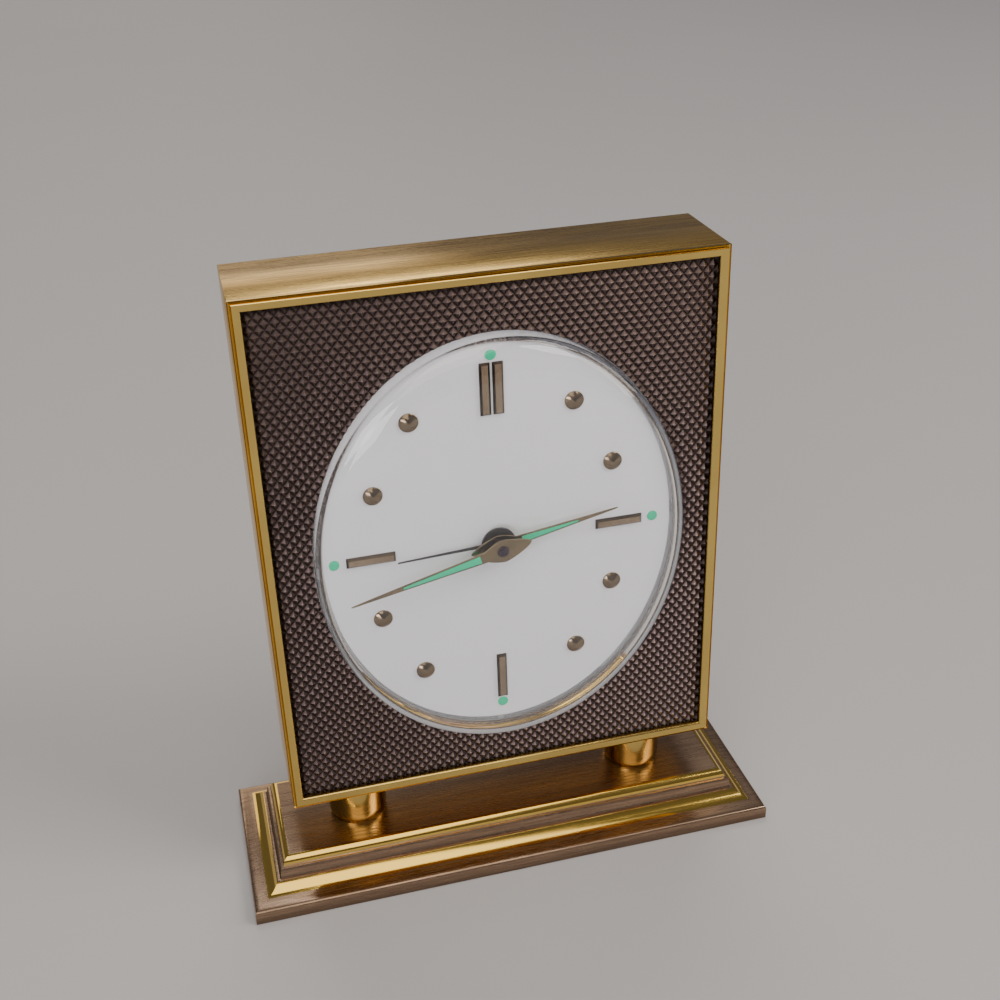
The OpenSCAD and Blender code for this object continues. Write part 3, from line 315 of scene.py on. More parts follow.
@dataclass(frozen=True)
class Finish(ABC):
    """What every finish has: two tones that its marks mix, a roughness, and the marks' size and share."""

    name: str
    color: Color
    dull: Color
    gloss: float
    patch: float = 0.02
    specks: float = 0.06

    def material(self, effects: Effects) -> bpy.types.Material:
        """Builds the material.

        Args:
            effects: The shared node groups.

        Returns:
            The finished material.
        """
        book = Surface(self.name, effects)
        self.coat(book, book.effect(effects.wear, Patch_size=self.patch, Speck_share=self.specks))
        return book.material

    @abstractmethod
    def coat(self, book: Surface, marks: Sequence[Socket]) -> None:
        """Feeds the shader, each kind of finish in its own way."""


@dataclass(frozen=True)
class Metal(Finish):
    """A plain or polished metal with handling marks; where given, painted shade on its flanks and a painted dark
    violet reflection at its tip.
    """

    spread: float = 0.06
    grain: float = 0.02
    grain_rough: float = 0.04
    dirt: float = 0.35
    flank_shade: Color | None = None
    flank_shade_normals: Point = (-0.97, -0.85)
    tip_reflection: Color | None = None
    tip_reflection_from: float = -8.0 * MM

    def coat(self, book: Surface, marks: Sequence[Socket]) -> None:
        """Feeds the shader.

        Args:
            book: The material being made.
            marks: The handling marks.
        """
        tone = book.blend(marks["Patch"], opaque(self.color), opaque(self.dull))
        tone = book.blend(book.times(marks["Speck"], self.dirt), tone, opaque(self.dull, 0.3))
        # Painted shade: faces that don't look straight to the front take the dark flank colour.
        if self.flank_shade:
            flank_shade_mask = book.ramp(book.axes(book.normal())[1], *self.flank_shade_normals)
            tone = book.blend(flank_shade_mask, tone, opaque(self.flank_shade))
        # Painted reflection: parts in front of the dial take a dark violet tone.
        if self.tip_reflection:
            in_front = book.maths("LESS_THAN", book.axes(book.place())[1], self.tip_reflection_from)
            tone = book.blend(in_front, tone, opaque(self.tip_reflection))
        rough = book.total(self.gloss, (marks["Patch"], self.spread), (marks["Grain"], self.grain_rough))
        book.give(Base_Color=tone, Metallic=1.0, Roughness=rough)
        book.bump(marks["Grain"], self.grain, 0.02 * MM)


@dataclass(frozen=True)
class DrawnMetal(Finish):
    """A metal with fine drawn lines. Between each pair of heights in bands, in millimetres, it is polished."""

    patch: float = 0.03
    specks: float = 0.05
    upright: float = 1.0
    depth: float = 0.04 * MM
    strength: float = 0.35
    streaks: Point = (0.43, 0.57)
    lines: Point = (0.4, 0.62)
    contrast: float = 0.5
    lines_rough: float = 0.14
    patch_rough: float = 0.05
    polished: Color = (0.88, 0.59, 0.13)
    polish: float = 0.42
    bands: tuple[Point, ...] = ()
    shadow: Point = (0.0, 2.6 * MM)
    shade: float = 0.7

    def coat(self, book: Surface, marks: Sequence[Socket]) -> None:
        """Feeds the shader.

        Args:
            book: The material being made.
            marks: The handling marks.
        """
        drawn = book.effect(book.effects.lines, Upright=self.upright)
        streak = book.ramp(drawn["Streak"], *self.streaks)
        fine = book.ramp(drawn["Height"], *self.lines)
        tone = book.blend(book.times(streak, self.contrast), opaque(self.color), opaque(self.dull))
        tone = book.blend(book.times(fine, self.contrast), tone, opaque(self.dull, 0.5))
        rough = book.total(self.gloss, (fine, self.lines_rough), (marks["Patch"], self.patch_rough))
        satin: object = 1.0
        if self.bands:
            level = book.axes(book.place())[2]
            for low, high in self.bands:
                above = book.maths("GREATER_THAN", level, low * MM)
                below = book.maths("LESS_THAN", level, high * MM)
                satin = book.times(satin, book.maths("SUBTRACT", 1.0, book.times(above, below)))
            tone = book.blend(book.ramp(level, *self.shadow, self.shade, 0.0), tone, opaque(self.dull, 0.25))
            tone = book.blend(satin, opaque(self.polished), tone)
            rough = book.times(rough, book.ramp(satin, 0.0, 1.0, self.polish, 1.0))
        book.give(Base_Color=tone, Metallic=1.0, Roughness=rough)
        book.bump(book.times(drawn["Height"], satin), self.strength, self.depth)


@dataclass(frozen=True)
class KnurledBronze(Finish):
    """The dark panel's finish: lighter on the pyramids' tips, with painted shade in the grooves and a painted shadow
    beside the frame.
    """

    patch: float = 0.012
    specks: float = 0.1
    tips: float = -8.93 * MM
    grooves: float = -8.51 * MM
    grooves_rough: float = 0.2
    grain_rough: float = 0.12
    half: Point = (37.5 * MM, 45.75 * MM)
    middle: float = 66.15 * MM
    edge: Point = (-0.3 * MM, 0.2 * MM)
    frame_shadow: float = 0.85

    def coat(self, book: Surface, marks: Sequence[Socket]) -> None:
        """Feeds the shader.

        Args:
            book: The material being made.
            marks: The handling marks.
        """
        across, depth, level = book.axes(book.place())
        # Painted shade: the tone darkens from the pyramids' tips down into the grooves.
        deep = book.ramp(depth, self.tips, self.grooves)
        tone = book.blend(deep, opaque(self.color), opaque(self.dull))
        tone = book.blend(book.times(marks["Patch"], 0.25), tone, opaque(self.dull))
        # Painted shadow: the tone darkens beside the frame's inner edge.
        beside = book.maths("SUBTRACT", book.maths("ABSOLUTE", across), self.half[0])
        height = book.maths("ABSOLUTE", book.maths("SUBTRACT", level, self.middle))
        outwards = book.maths("MAXIMUM", beside, book.maths("SUBTRACT", height, self.half[1]))
        tone = book.blend(book.ramp(outwards, *self.edge, 0.0, self.frame_shadow), tone, opaque(self.dull, 0.25))
        rough = book.total(self.gloss, (deep, self.grooves_rough), (marks["Grain"], self.grain_rough))
        book.give(Base_Color=tone, Metallic=0.9, Roughness=rough)
        book.bump(marks["Grain"], 0.25, 0.03 * MM)


@dataclass(frozen=True)
class Paint(Finish):
    """A painted or printed surface, with a faint grain and specks of dust."""

    patch: float = 0.025
    specks: float = 0.08
    grain: float = 0.05
    grain_rough: float = 0.12
    glow: float = 0.0

    def coat(self, book: Surface, marks: Sequence[Socket]) -> None:
        """Feeds the shader.

        Args:
            book: The material being made.
            marks: The handling marks.
        """
        tone = book.blend(book.times(marks["Patch"], 0.5), opaque(self.color), opaque(self.dull))
        tone = book.blend(book.times(marks["Speck"], 0.5), tone, opaque(self.dull, 0.35))
        book.give(Base_Color=tone, Roughness=book.total(self.gloss, (marks["Grain"], self.grain_rough)))
        book.bump(marks["Grain"], self.grain, 0.02 * MM)
        if self.glow:
            book.give(Emission_Color=tone, Emission_Strength=self.glow)


@dataclass(frozen=True)
class ClearGlass(Finish):
    """Clear mineral glass. Shadow rays pass straight through it, so that the dial is lit."""

    patch: float = 0.03
    specks: float = 0.03
    ior: float = 1.5

    def coat(self, book: Surface, marks: Sequence[Socket]) -> None:
        """Feeds the shader, and mixes in a clear one for shadows.

        Args:
            book: The material being made.
            marks: The handling marks.
        """
        rough = book.ramp(marks["Patch"], 0.0, 1.0, 0.0, self.gloss)
        book.give(Base_Color=opaque(self.color), Roughness=rough, IOR=self.ior, Transmission_Weight=1.0)
        clear = book.add("ShaderNodeBsdfTransparent", {0: opaque(self.dull)})
        shadow = book.add("ShaderNodeLightPath").outputs["Is Shadow Ray"]
        mix = book.add("ShaderNodeMixShader", {0: shadow, 1: book.shader.outputs[0], 2: clear.outputs[0]})
        book.join(mix.outputs[0], book.output.inputs[0])


@dataclass(frozen=True)
class Felt(Finish):
    """Pressed wool felt under the plinth."""

    patch: float = 0.006
    specks: float = 0.3
    hair: tuple[float, float, float] = (900.0, 2600.0, 900.0)
    sheen: float = 0.3

    def coat(self, book: Surface, marks: Sequence[Socket]) -> None:
        """Feeds the shader.

        Args:
            book: The material being made.
            marks: The handling marks.
        """
        hair = book.noise(book.stretched(book.place(), self.hair), 1.0, 6.0, 0.7)
        tone = book.blend(hair, opaque(self.dull), opaque(self.color, 1.7))
        tone = book.blend(book.times(marks["Patch"], 0.3), tone, opaque(self.color))
        book.give(Base_Color=tone, Roughness=self.gloss, Sheen_Weight=self.sheen)
        book.bump(hair, 0.6, 0.2 * MM)


FINISHES: tuple[Finish, ...] = (
    Metal("polished_gold", (0.74, 0.53, 0.16), (0.62, 0.43, 0.125), 0.09, grain=0.05),
    DrawnMetal("brushed_gold", (0.88, 0.58, 0.19), (0.56, 0.35, 0.11), 0.2, strength=0.6),
    DrawnMetal("plinth_brass", (0.44, 0.3, 0.2), (0.32, 0.21, 0.145), 0.2, upright=0.0, strength=0.2,
               bands=((3.14, 4.72), (6.9, 8.27))),
    # The dark violet tips of movement_brass and nickel_steel are a painted reflection.
    Metal("movement_brass", (0.76, 0.58, 0.27), (0.66, 0.49, 0.24), 0.24, grain=0.12, tip_reflection=(0.07, 0.055, 0.085)),
    Metal("nickel_steel", (0.66, 0.65, 0.63), (0.55, 0.54, 0.53), 0.22, grain=0.1, tip_reflection=(0.09, 0.065, 0.095)),
    Metal("blued_steel", (0.1, 0.14, 0.34), (0.07, 0.09, 0.22), 0.18, grain=0.05),
    KnurledBronze("panel_bronze", (0.18, 0.13, 0.115), (0.05, 0.034, 0.031), 0.16),
    ClearGlass("clear_glass", (0.985, 0.992, 0.99), (0.96, 0.97, 0.97), 0.02),
    Paint("dial_white", (0.74, 0.73, 0.76), (0.7, 0.69, 0.72), 0.38, specks=0.03),
    # The markers' dark flank colour is painted shade.
    Metal("marker_metal", (0.42, 0.31, 0.21), (0.32, 0.23, 0.15), 0.14, patch=0.004, grain=0.1,
          flank_shade=(0.05, 0.035, 0.026)),
    Metal("stud_metal", (0.26, 0.19, 0.12), (0.2, 0.145, 0.09), 0.1, patch=0.003, grain=0.1),
    Paint("lume", (0.0, 0.34, 0.17), (0.0, 0.3, 0.15), 0.75, specks=0.0, glow=0.6, grain=0.3),
    Metal("hand_metal", (0.3, 0.23, 0.14), (0.22, 0.17, 0.11), 0.16, patch=0.004),
    Paint("alarm_hand_black", (0.012, 0.01, 0.014), (0.02, 0.016, 0.02), 0.35, grain=0.02),
    Felt("felt_green", (0.03, 0.1, 0.055), (0.018, 0.06, 0.033), 0.95),
)


# Mesh helpers


def new_verts(geom: Iterable[object]) -> list[BMVert]:
    """The vertices among what an operator made."""
    return [g for g in geom if isinstance(g, BMVert)]


def moved(mesh: BMesh, matrix: Matrix) -> BMesh:
    """Moves a whole mesh and points its faces outwards again.

    Args:
        mesh: The mesh to move.
        matrix: The move.

    Returns:
        The same mesh.
    """
    bmesh.ops.transform(mesh, matrix=matrix, verts=mesh.verts)
    bmesh.ops.recalc_face_normals(mesh, faces=mesh.faces)
    return mesh


def thickened(mesh: BMesh, depth: float) -> list[BMVert]:
    """Thickens a flat sheet along Z into a closed plate.

    Args:
        mesh: The sheet.
        depth: How far its copy lies from it.

    Returns:
        The vertices of the copy.
    """
    verts = new_verts(bmesh.ops.extrude_face_region(mesh, geom=mesh.faces[:], use_keep_orig=True)["geom"])
    bmesh.ops.translate(mesh, vec=(0, 0, depth), verts=verts)
    return verts


def join_into(mesh: BMesh, part: BMesh) -> None:
    """Adds a copy of one mesh to another.

    Args:
        mesh: The mesh to add to.
        part: The mesh to add, which is freed.
    """
    data = bpy.data.meshes.new("joined_shape")
    part.to_mesh(data)
    part.free()
    mesh.from_mesh(data)
    bpy.data.meshes.remove(data)


def sweep_section(profile: Sequence[Point], width: float, height: float, closed: bool) -> BMesh:
    """Sweeps a section round a rectangle, with mitred corners.

    Args:
        profile: Points of the section, as inset from the outer edge and distance along Z.
        width: The rectangle's outer width, along X.
        height: Its outer height, along Y.
        closed: Whether the section closes on itself; otherwise both its ends are capped.

    Returns:
        A closed mesh.
    """
    mesh = bmesh.new()
    bmesh.ops.create_grid(mesh, x_segments=1, y_segments=1, size=0.5)
    bmesh.ops.delete(mesh, geom=mesh.faces[:], context="FACES_ONLY")
    inset, level = profile[0]
    size = (width - 2 * inset, height - 2 * inset)
    bmesh.ops.scale(mesh, vec=(*size, 1.0), verts=mesh.verts)
    bmesh.ops.translate(mesh, vec=(0.0, 0.0, level), verts=mesh.verts)
    edges = mesh.edges[:]
    for inset, next_level in [*profile[1:], *(profile[:1] if closed else [])]:
        drawn = bmesh.ops.extrude_edge_only(mesh, edges=edges)["geom"]
        verts = new_verts(drawn)
        edges = [g for g in drawn if isinstance(g, BMEdge) and all(v in verts for v in g.verts)]
        grown = (width - 2 * inset, height - 2 * inset)
        bmesh.ops.scale(mesh, vec=(grown[0] / size[0], grown[1] / size[1], 1.0), verts=verts)
        bmesh.ops.translate(mesh, vec=(0.0, 0.0, next_level - level), verts=verts)
        size, level = grown, next_level
    bmesh.ops.remove_doubles(mesh, verts=mesh.verts, dist=WELD)
    if not closed:
        bmesh.ops.holes_fill(mesh, edges=mesh.edges, sides=4)
    bmesh.ops.recalc_face_normals(mesh, faces=mesh.faces)
    return mesh


def bevel_sharp(mesh: BMesh, offset: float, angle: float, only: Callable[[BMEdge], bool] | None = None) -> None:
    """Rounds the edges that turn by more than an angle.

    Args:
        mesh: The mesh to change.
        offset: The bevel's width, in the mesh's unit.
        angle: The least turn, in degrees.
        only: A test that an edge has to pass too.
    """
    limit = math.radians(angle)
    edges = [e for e in mesh.edges if e.is_manifold and e.calc_face_angle(0.0) > limit and (only is None or only(e))]
    bmesh.ops.bevel(mesh, geom=edges, offset=offset, affect="EDGES", segments=2, profile=0.5, material=-1,
                    clamp_overlap=True)


def turned(profile: Sequence[Point], steps: int, centre: Vector, axis: Vector) -> BMesh:
    """Turns a section round an axis, as on a lathe.

    Args:
        profile: Points of the section, as radius and distance along the axis, in millimetres.
        steps: The number of steps round.
        centre: A point on the axis.
        axis: The axis's direction, square to X.

    Returns:
        A closed mesh.
    """
    mesh = bmesh.new()
    verts = [mesh.verts.new(centre + RIGHT * (radius * MM) + axis * (along * MM)) for radius, along in profile]
    edges = [mesh.edges.new(pair) for pair in zip(verts, verts[1:])]
    if profile[0][0] > 0 or profile[-1][0] > 0:
        edges.append(mesh.edges.new((verts[-1], verts[0])))
    bmesh.ops.spin(mesh, geom=[*verts, *edges], cent=centre, axis=axis, angle=math.tau, steps=steps,
                   use_merge=True, dvec=(0, 0, 0))
    bmesh.ops.remove_doubles(mesh, verts=mesh.verts, dist=WELD)
    bmesh.ops.recalc_face_normals(mesh, faces=mesh.faces)
    return mesh


def arc(centre: Point, radius: Point, start: float, end: float, steps: int) -> list[Point]:
    """Points along part of an ellipse.

    Args:
        centre: The middle of the ellipse.
        radius: Its two half-widths.
        start: The first angle in degrees.
        end: The last angle in degrees.
        steps: The number of steps between them.

    Returns:
        The points in order.
    """
    angles = [math.radians(start + (end - start) * i / steps) for i in range(steps + 1)]
    return [(centre[0] + radius[0] * math.cos(a), centre[1] + radius[1] * math.sin(a)) for a in angles]


def in_metres(profile: Iterable[Point]) -> list[Point]:
    """The points of a section that is drawn in millimetres."""
    return [(first * MM, second * MM) for first, second in profile]


@dataclass
class Workshop:
    """Turns meshes into finished pieces, and keeps the finishes by slot name."""

    finishes: dict[str, bpy.types.Material]

    def finish(self, mesh: BMesh, name: str, body: Body, slot: str, replaces: Sequence[str] = (), smooth: float = 35.0,
               look: str | None = None) -> None:
        """Makes an object from a mesh, dresses it and ties it to the frame.

        Args:
            mesh: The finished mesh, which is freed.
            name: The piece's name.
            body: The body it rides on.
            slot: The record's material slot.
            replaces: The frame's nodes that it stands for.
            smooth: The sharpest turn, in degrees, that is shaded smooth.
            look: The finish, where it isn't the slot's own.
        """
        data = bpy.data.meshes.new(name)
        mesh.to_mesh(data)
        mesh.free()
        data.shade_smooth()
        data.set_sharp_from_angle(angle=math.radians(smooth))
        piece = bpy.data.objects.new(name, data)
        bpy.context.scene.collection.objects.link(piece)
        data.materials.append(self.finishes[look or slot])
        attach(piece, body.value)
        if replaces:
            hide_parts(*replaces)
        LOG.info("made %s with %d faces", name, len(data.polygons))


# Sub-assemblies


@dataclass
class SubAssembly(ABC):
    """A part of the clock whose pieces one workshop makes."""

    shop: Workshop

    @abstractmethod
    def dress(self) -> None:
        """Builds and finishes the pieces."""


@dataclass
class Plinth(SubAssembly):
    """The moulded plinth, made from one mitred section. The section's points are in millimetres."""

    width: float = 99.2 * MM
    depth: float = 35.6 * MM
    rim: float = 1.3
    recess: float = 1.9
    cavity_inset: float = 7.0
    ceiling: float = 7.1

    def section(self) -> list[Point]:
        """Draws the moulding from the floor up.

        Returns:
            Its lip, cove, step, fillet and bead, as inset and height.
        """
        lip = [(0.12, 0.0), (0.0, 0.14), (0.0, 2.3), (0.06, 2.5), (0.2, 2.66), (0.42, 2.78), (1.0, 2.88), (1.8, 2.96),
               (2.5, 3.08)]
        cove = arc((1.9, 6.6), (3.3, 3.56), -70, -33, 8)
        step = [(4.8, 4.72), (5.0, 4.78), (5.3, 4.8)]
        fillet = [(5.48, 5.1), (5.58, 5.8), (5.7, 6.35), (5.9, 6.62), (6.2, 6.72)]
        bead = arc((7.8, 6.8), (1.5, 1.5), 178, 90, 12)
        return lip + cove + step + fillet + bead

    def dress(self) -> None:
        """Sweeps the moulding up from the recess that holds the felt, and finishes it."""
        inside = [(self.cavity_inset, self.ceiling), (self.cavity_inset, self.recess), (self.rim, self.recess),
                  (self.rim, 0.0)]
        mesh = sweep_section(in_metres(inside + self.section()), self.width, self.depth, closed=False)
        self.shop.finish(mesh, "plinth_moulding", Body.CASE, "plinth_brass", ["plinth_shell"], smooth=26.0)


@dataclass
class Foot(SubAssembly):
    """One of the two turned feet, an upright drum with rounded edges. Its outline is in millimetres."""

    side: int
    spacing: float = 55.2 * MM
    low: float = 8.3 * MM
    y: float = -0.35 * MM
    height: float = 9.6
    radius: float = 5.49
    end: float = 4.88
    rounding: float = 1.85

    def dress(self) -> None:
        """Turns and finishes the foot."""
        reach = (self.radius - self.end, self.rounding)
        lower = arc((self.end, self.rounding), reach, -90, 0, 10)
        upper = arc((self.end, self.height - self.rounding), reach, 0, 90, 10)
        centre = Vector((self.side * self.spacing / 2, self.y, self.low))
        mesh = turned([(0.0, 0.0), *lower, *upper, (0.0, self.height)], 96, centre, UP)
        label = "left" if self.side < 0 else "right"
        self.shop.finish(mesh, f"foot_{label}_turned", Body.CASE, "polished_gold", [f"foot_{label}"])


@dataclass
class CaseFront:
    """The places that the front pieces share."""

    width: float = 80.0 * MM
    height: float = 96.5 * MM
    front_y: float = -9.85 * MM
    centre_z: float = 66.15 * MM
    glass_w: float = 64.2 * MM
    glass_h: float = 76.8 * MM
    glass_at: Point = (0.6 * MM, -0.3 * MM)

    def place(self, across: float, up: float, depth: float) -> Vector:
        """A point from the case's middle and a depth behind its front plane."""
        return Vector((across, self.front_y + depth, self.centre_z + up))

    def stand(self, mesh: BMesh) -> BMesh:
        """Stands a mesh that is drawn flat, with its depth along Z, upright in the case."""
        return moved(mesh, Matrix(((1, 0, 0, 0), (0, 0, 1, self.front_y), (0, 1, 0, self.centre_z), (0, 0, 0, 1))))

    def on_dial(self, depth: float, direction: float) -> Matrix:
        """Turns a flat shape, drawn along X in millimetres, to a direction on the dial.

        Args:
            depth: Where its front lies behind the case's front plane, in millimetres.
            direction: The direction in degrees, clockwise from twelve.

        Returns:
            The matrix that places it.
        """
        turn = Matrix.Rotation(math.radians(90 - direction), 4, FORWARD)
        flat = Matrix(((1, 0, 0, 0), (0, 0, 1, 0), (0, 1, 0, 0), (0, 0, 0, 1)))
        return Matrix.Translation(self.place(0, 0, depth * MM)) @ turn @ flat @ Matrix.Scale(MM, 4)

    def oval(self, angle: float, margin: float) -> Point:
        """A point beside the glass's oval.

        Args:
            angle: The direction from its middle, in degrees.
            margin: The distance outside its edge, in metres.

        Returns:
            The point, across and up from the case's middle.
        """
        a = math.radians(angle)
        across, up = self.glass_at
        return across + (self.glass_w / 2 + margin) * math.cos(a), up + (self.glass_h / 2 + margin) * math.sin(a)


@dataclass
class FrontPiece(SubAssembly):
    """A sub-assembly at the front of the case."""

    front: CaseFront


@dataclass
class CaseShell(FrontPiece):
    """The brushed band and the polished front frame. Their sections are in millimetres."""

    wall: float = 1.5
    seam: float = 1.2
    back: float = 19.0
    corner: float = 0.14 * MM

    def dress(self) -> None:
        """Sweeps and finishes both pieces."""
        wall, seam, back = self.wall, self.seam, self.back
        mesh = self.swept([(0.1, seam), (0.0, seam + 0.12), (0.0, back - 0.2), (0.18, back), (wall - 0.12, back),
                           (wall, back - 0.15), (wall, seam)])
        outer = self.front.width / 2 - 0.3 * MM
        bevel_sharp(mesh, self.corner, 80.0, only=lambda e: abs((e.verts[0].co - e.verts[1].co).y) > 10 * MM
                    and abs(e.verts[0].co.x) > outer)
        self.shop.finish(mesh, "case_band_brushed", Body.CASE, "brushed_gold", ["case_band"])
        corner = arc((0.34, 0.42), (0.34, 0.38), 180, 100, 5)
        mesh = self.swept([(0.14, seam), (0.02, seam - 0.12), (0.0, 0.42), *corner, (0.6, 0.012), (0.95, 0.0),
                           (1.3, 0.02), (1.6, 0.1), (1.78, 0.24), (1.88, 0.45), (1.9, 0.7), (1.9, seam)])
        self.shop.finish(mesh, "front_frame_polished", Body.CASE, "polished_gold", ["front_frame"], smooth=40.0)

    def swept(self, section: Iterable[Point]) -> BMesh:
        """The band that a section makes round the case, from its inset and its depth."""
        size = self.front.width, self.front.height
        return self.front.stand(sweep_section(in_metres(section), *size, closed=True))


@dataclass
class KnurledPanel(FrontPiece):
    """The dark panel of small pyramids round the oval opening. It is drawn flat, with its depth along Z."""

    step_x: float = 1.66 * MM
    step_z: float = 2.04 * MM
    rise: float = 0.42 * MM
    base: float = 1.34 * MM
    back: float = 1.8 * MM
    gap: float = 0.1 * MM
    inset: float = 1.6 * MM
    sectors: int = 96

    def pyramids(self) -> BMesh:
        """A field of pyramids on diamond bases, clipped to the panel's rectangle.

        Returns:
            An open sheet that faces the viewer, on the base plane.
        """
        f = self.front
        half_w, half_h = f.width / 2 - self.inset, f.height / 2 - self.inset
        sides = [(Vector((1, 0, 0)), half_w), (Vector((-1, 0, 0)), half_w), (Vector((0, 1, 0)), half_h),
                 (Vector((0, -1, 0)), half_h)]
        mesh = bmesh.new()
        count = 2 * math.ceil(0.5 * f.width / self.step_x + 0.5 * f.height / self.step_z)
        bmesh.ops.create_grid(mesh, x_segments=count, y_segments=count, size=count / 2)
        dx, dz = self.step_x / 2, self.step_z / 2
        shear = Matrix(((dx, dx, 0, 0), (-dz, dz, 0, 0), (0, 0, 1, 0), (0, 0, 0, 1)))
        bmesh.ops.transform(mesh, matrix=shear, verts=mesh.verts)
        for normal, limit in sides:
            away = [face for face in mesh.faces if min(normal.dot(v.co) for v in face.verts) > limit]
            bmesh.ops.delete(mesh, geom=away, context="FACES")
        hole = [face for face in mesh.faces if max(self.reach(v.co) for v in face.verts) < 1.0]
        bmesh.ops.delete(mesh, geom=hole, context="FACES")
        poked = bmesh.ops.poke(mesh, faces=mesh.faces, offset=0.0)
        bmesh.ops.translate(mesh, vec=(0, 0, self.rise), verts=poked["verts"])
        for normal, limit in sides:
            bmesh.ops.bisect_plane(mesh, geom=[*mesh.verts, *mesh.edges, *mesh.faces], dist=CUT,
                                   plane_co=normal * limit, plane_no=normal, clear_outer=True)
        return mesh

    def reach(self, point: Vector) -> float:
        """How far a point lies from the oval's middle, as a share of the opening's edge."""
        f, (across, up) = self.front, self.front.glass_at
        return math.hypot((point.x - across) / (f.glass_w / 2 + self.gap), (point.y - up) / (f.glass_h / 2 + self.gap))

    def cut_oval(self, mesh: BMesh) -> None:
        """Cuts the opening along short chords, and clears what lies inside.

        Args:
            mesh: The sheet of pyramids.
        """
        for i in range(self.sectors):
            a, b = (Vector((*self.front.oval(360 * k / self.sectors, self.gap), 0.0)) for k in (i, i + 1))
            middle, chord = (a + b) / 2, b - a
            normal = Vector((chord.y, -chord.x, 0.0)).normalized()
            limit = chord.length / 2 + 2 * self.step_z
            near = [face for face in mesh.faces if (face.calc_center_median() - middle).length < limit]
            geom = list({*near, *(e for face in near for e in face.edges), *(v for face in near for v in face.verts)})
            bmesh.ops.bisect_plane(mesh, geom=geom, dist=CUT, plane_co=middle, plane_no=normal)
        inner = [face for face in mesh.faces if self.reach(face.calc_center_median()) < 0.9995]
        bmesh.ops.delete(mesh, geom=inner, context="FACES")
        bmesh.ops.remove_doubles(mesh, verts=mesh.verts, dist=2e-6)

    def dress(self) -> None:
        """Makes the sheet, closes it with walls and a back, and finishes it."""
        mesh = self.pyramids()
        self.cut_oval(mesh)
        walls = bmesh.ops.extrude_edge_only(mesh, edges=[e for e in mesh.edges if e.is_boundary])["geom"]
        rim = set(new_verts(walls))
        for vert in rim:
            vert.co.z = self.base - self.back
        mesh.edges.index_update()
        rims = [g for g in walls if isinstance(g, BMEdge) and all(v in rim for v in g.verts)]
        bmesh.ops.triangle_fill(mesh, edges=rims, use_beauty=True, use_dissolve=False)
        f = self.front
        moved(mesh, Matrix(((1, 0, 0, 0), (0, 0, -1, f.front_y + self.base), (0, 1, 0, f.centre_z), (0, 0, 0, 1))))
        self.shop.finish(mesh, "front_panel_knurled", Body.CASE, "panel_bronze", ["front_panel"], smooth=12.0)


@dataclass
class Glass(FrontPiece):
    """The domed oval glass. Its section is in millimetres."""

    radius: float = 32.1
    proud: float = 1.0
    rise: float = 3.6
    thick: float = 1.1
    flange: float = 0.6
    seat: Point = (1.8, 2.4)
    shares: tuple[float, ...] = (0, 0.08, 0.18, 0.28, 0.38, 0.48, 0.58, 0.67, 0.75, 0.82, 0.875, 0.92, 0.95, 0.97,
                                 0.985, 0.995, 1.0)

    def dome(self, share: float, inset: float) -> Point:
        """A point of the dome, as radius and depth."""
        return (self.radius - inset) * share, -self.proud - self.rise * math.sqrt(max(0.0, 1 - share**4)) + inset

    def dress(self) -> None:
        """Turns the glass round, stretches it into an oval and finishes it."""
        rim, (near, far) = self.radius, self.seat
        profile = [self.dome(s, 0.0) for s in self.shares]
        profile += [(rim, near), (rim + self.flange, near), (rim + self.flange, far), (rim - self.thick, far)]
        profile += [self.dome(s, self.thick) for s in reversed(self.shares)]
        centre = self.front.place(*self.front.glass_at, 0)
        mesh = turned(profile, 144, centre, BACKWARD)
        stretch = self.front.glass_h / self.front.glass_w
        bmesh.ops.scale(mesh, vec=(1, 1, stretch), space=Matrix.Translation(-centre), verts=mesh.verts)
        self.shop.finish(mesh, "domed_glass", Body.CASE, "clear_glass", ["glass"], smooth=40.0)


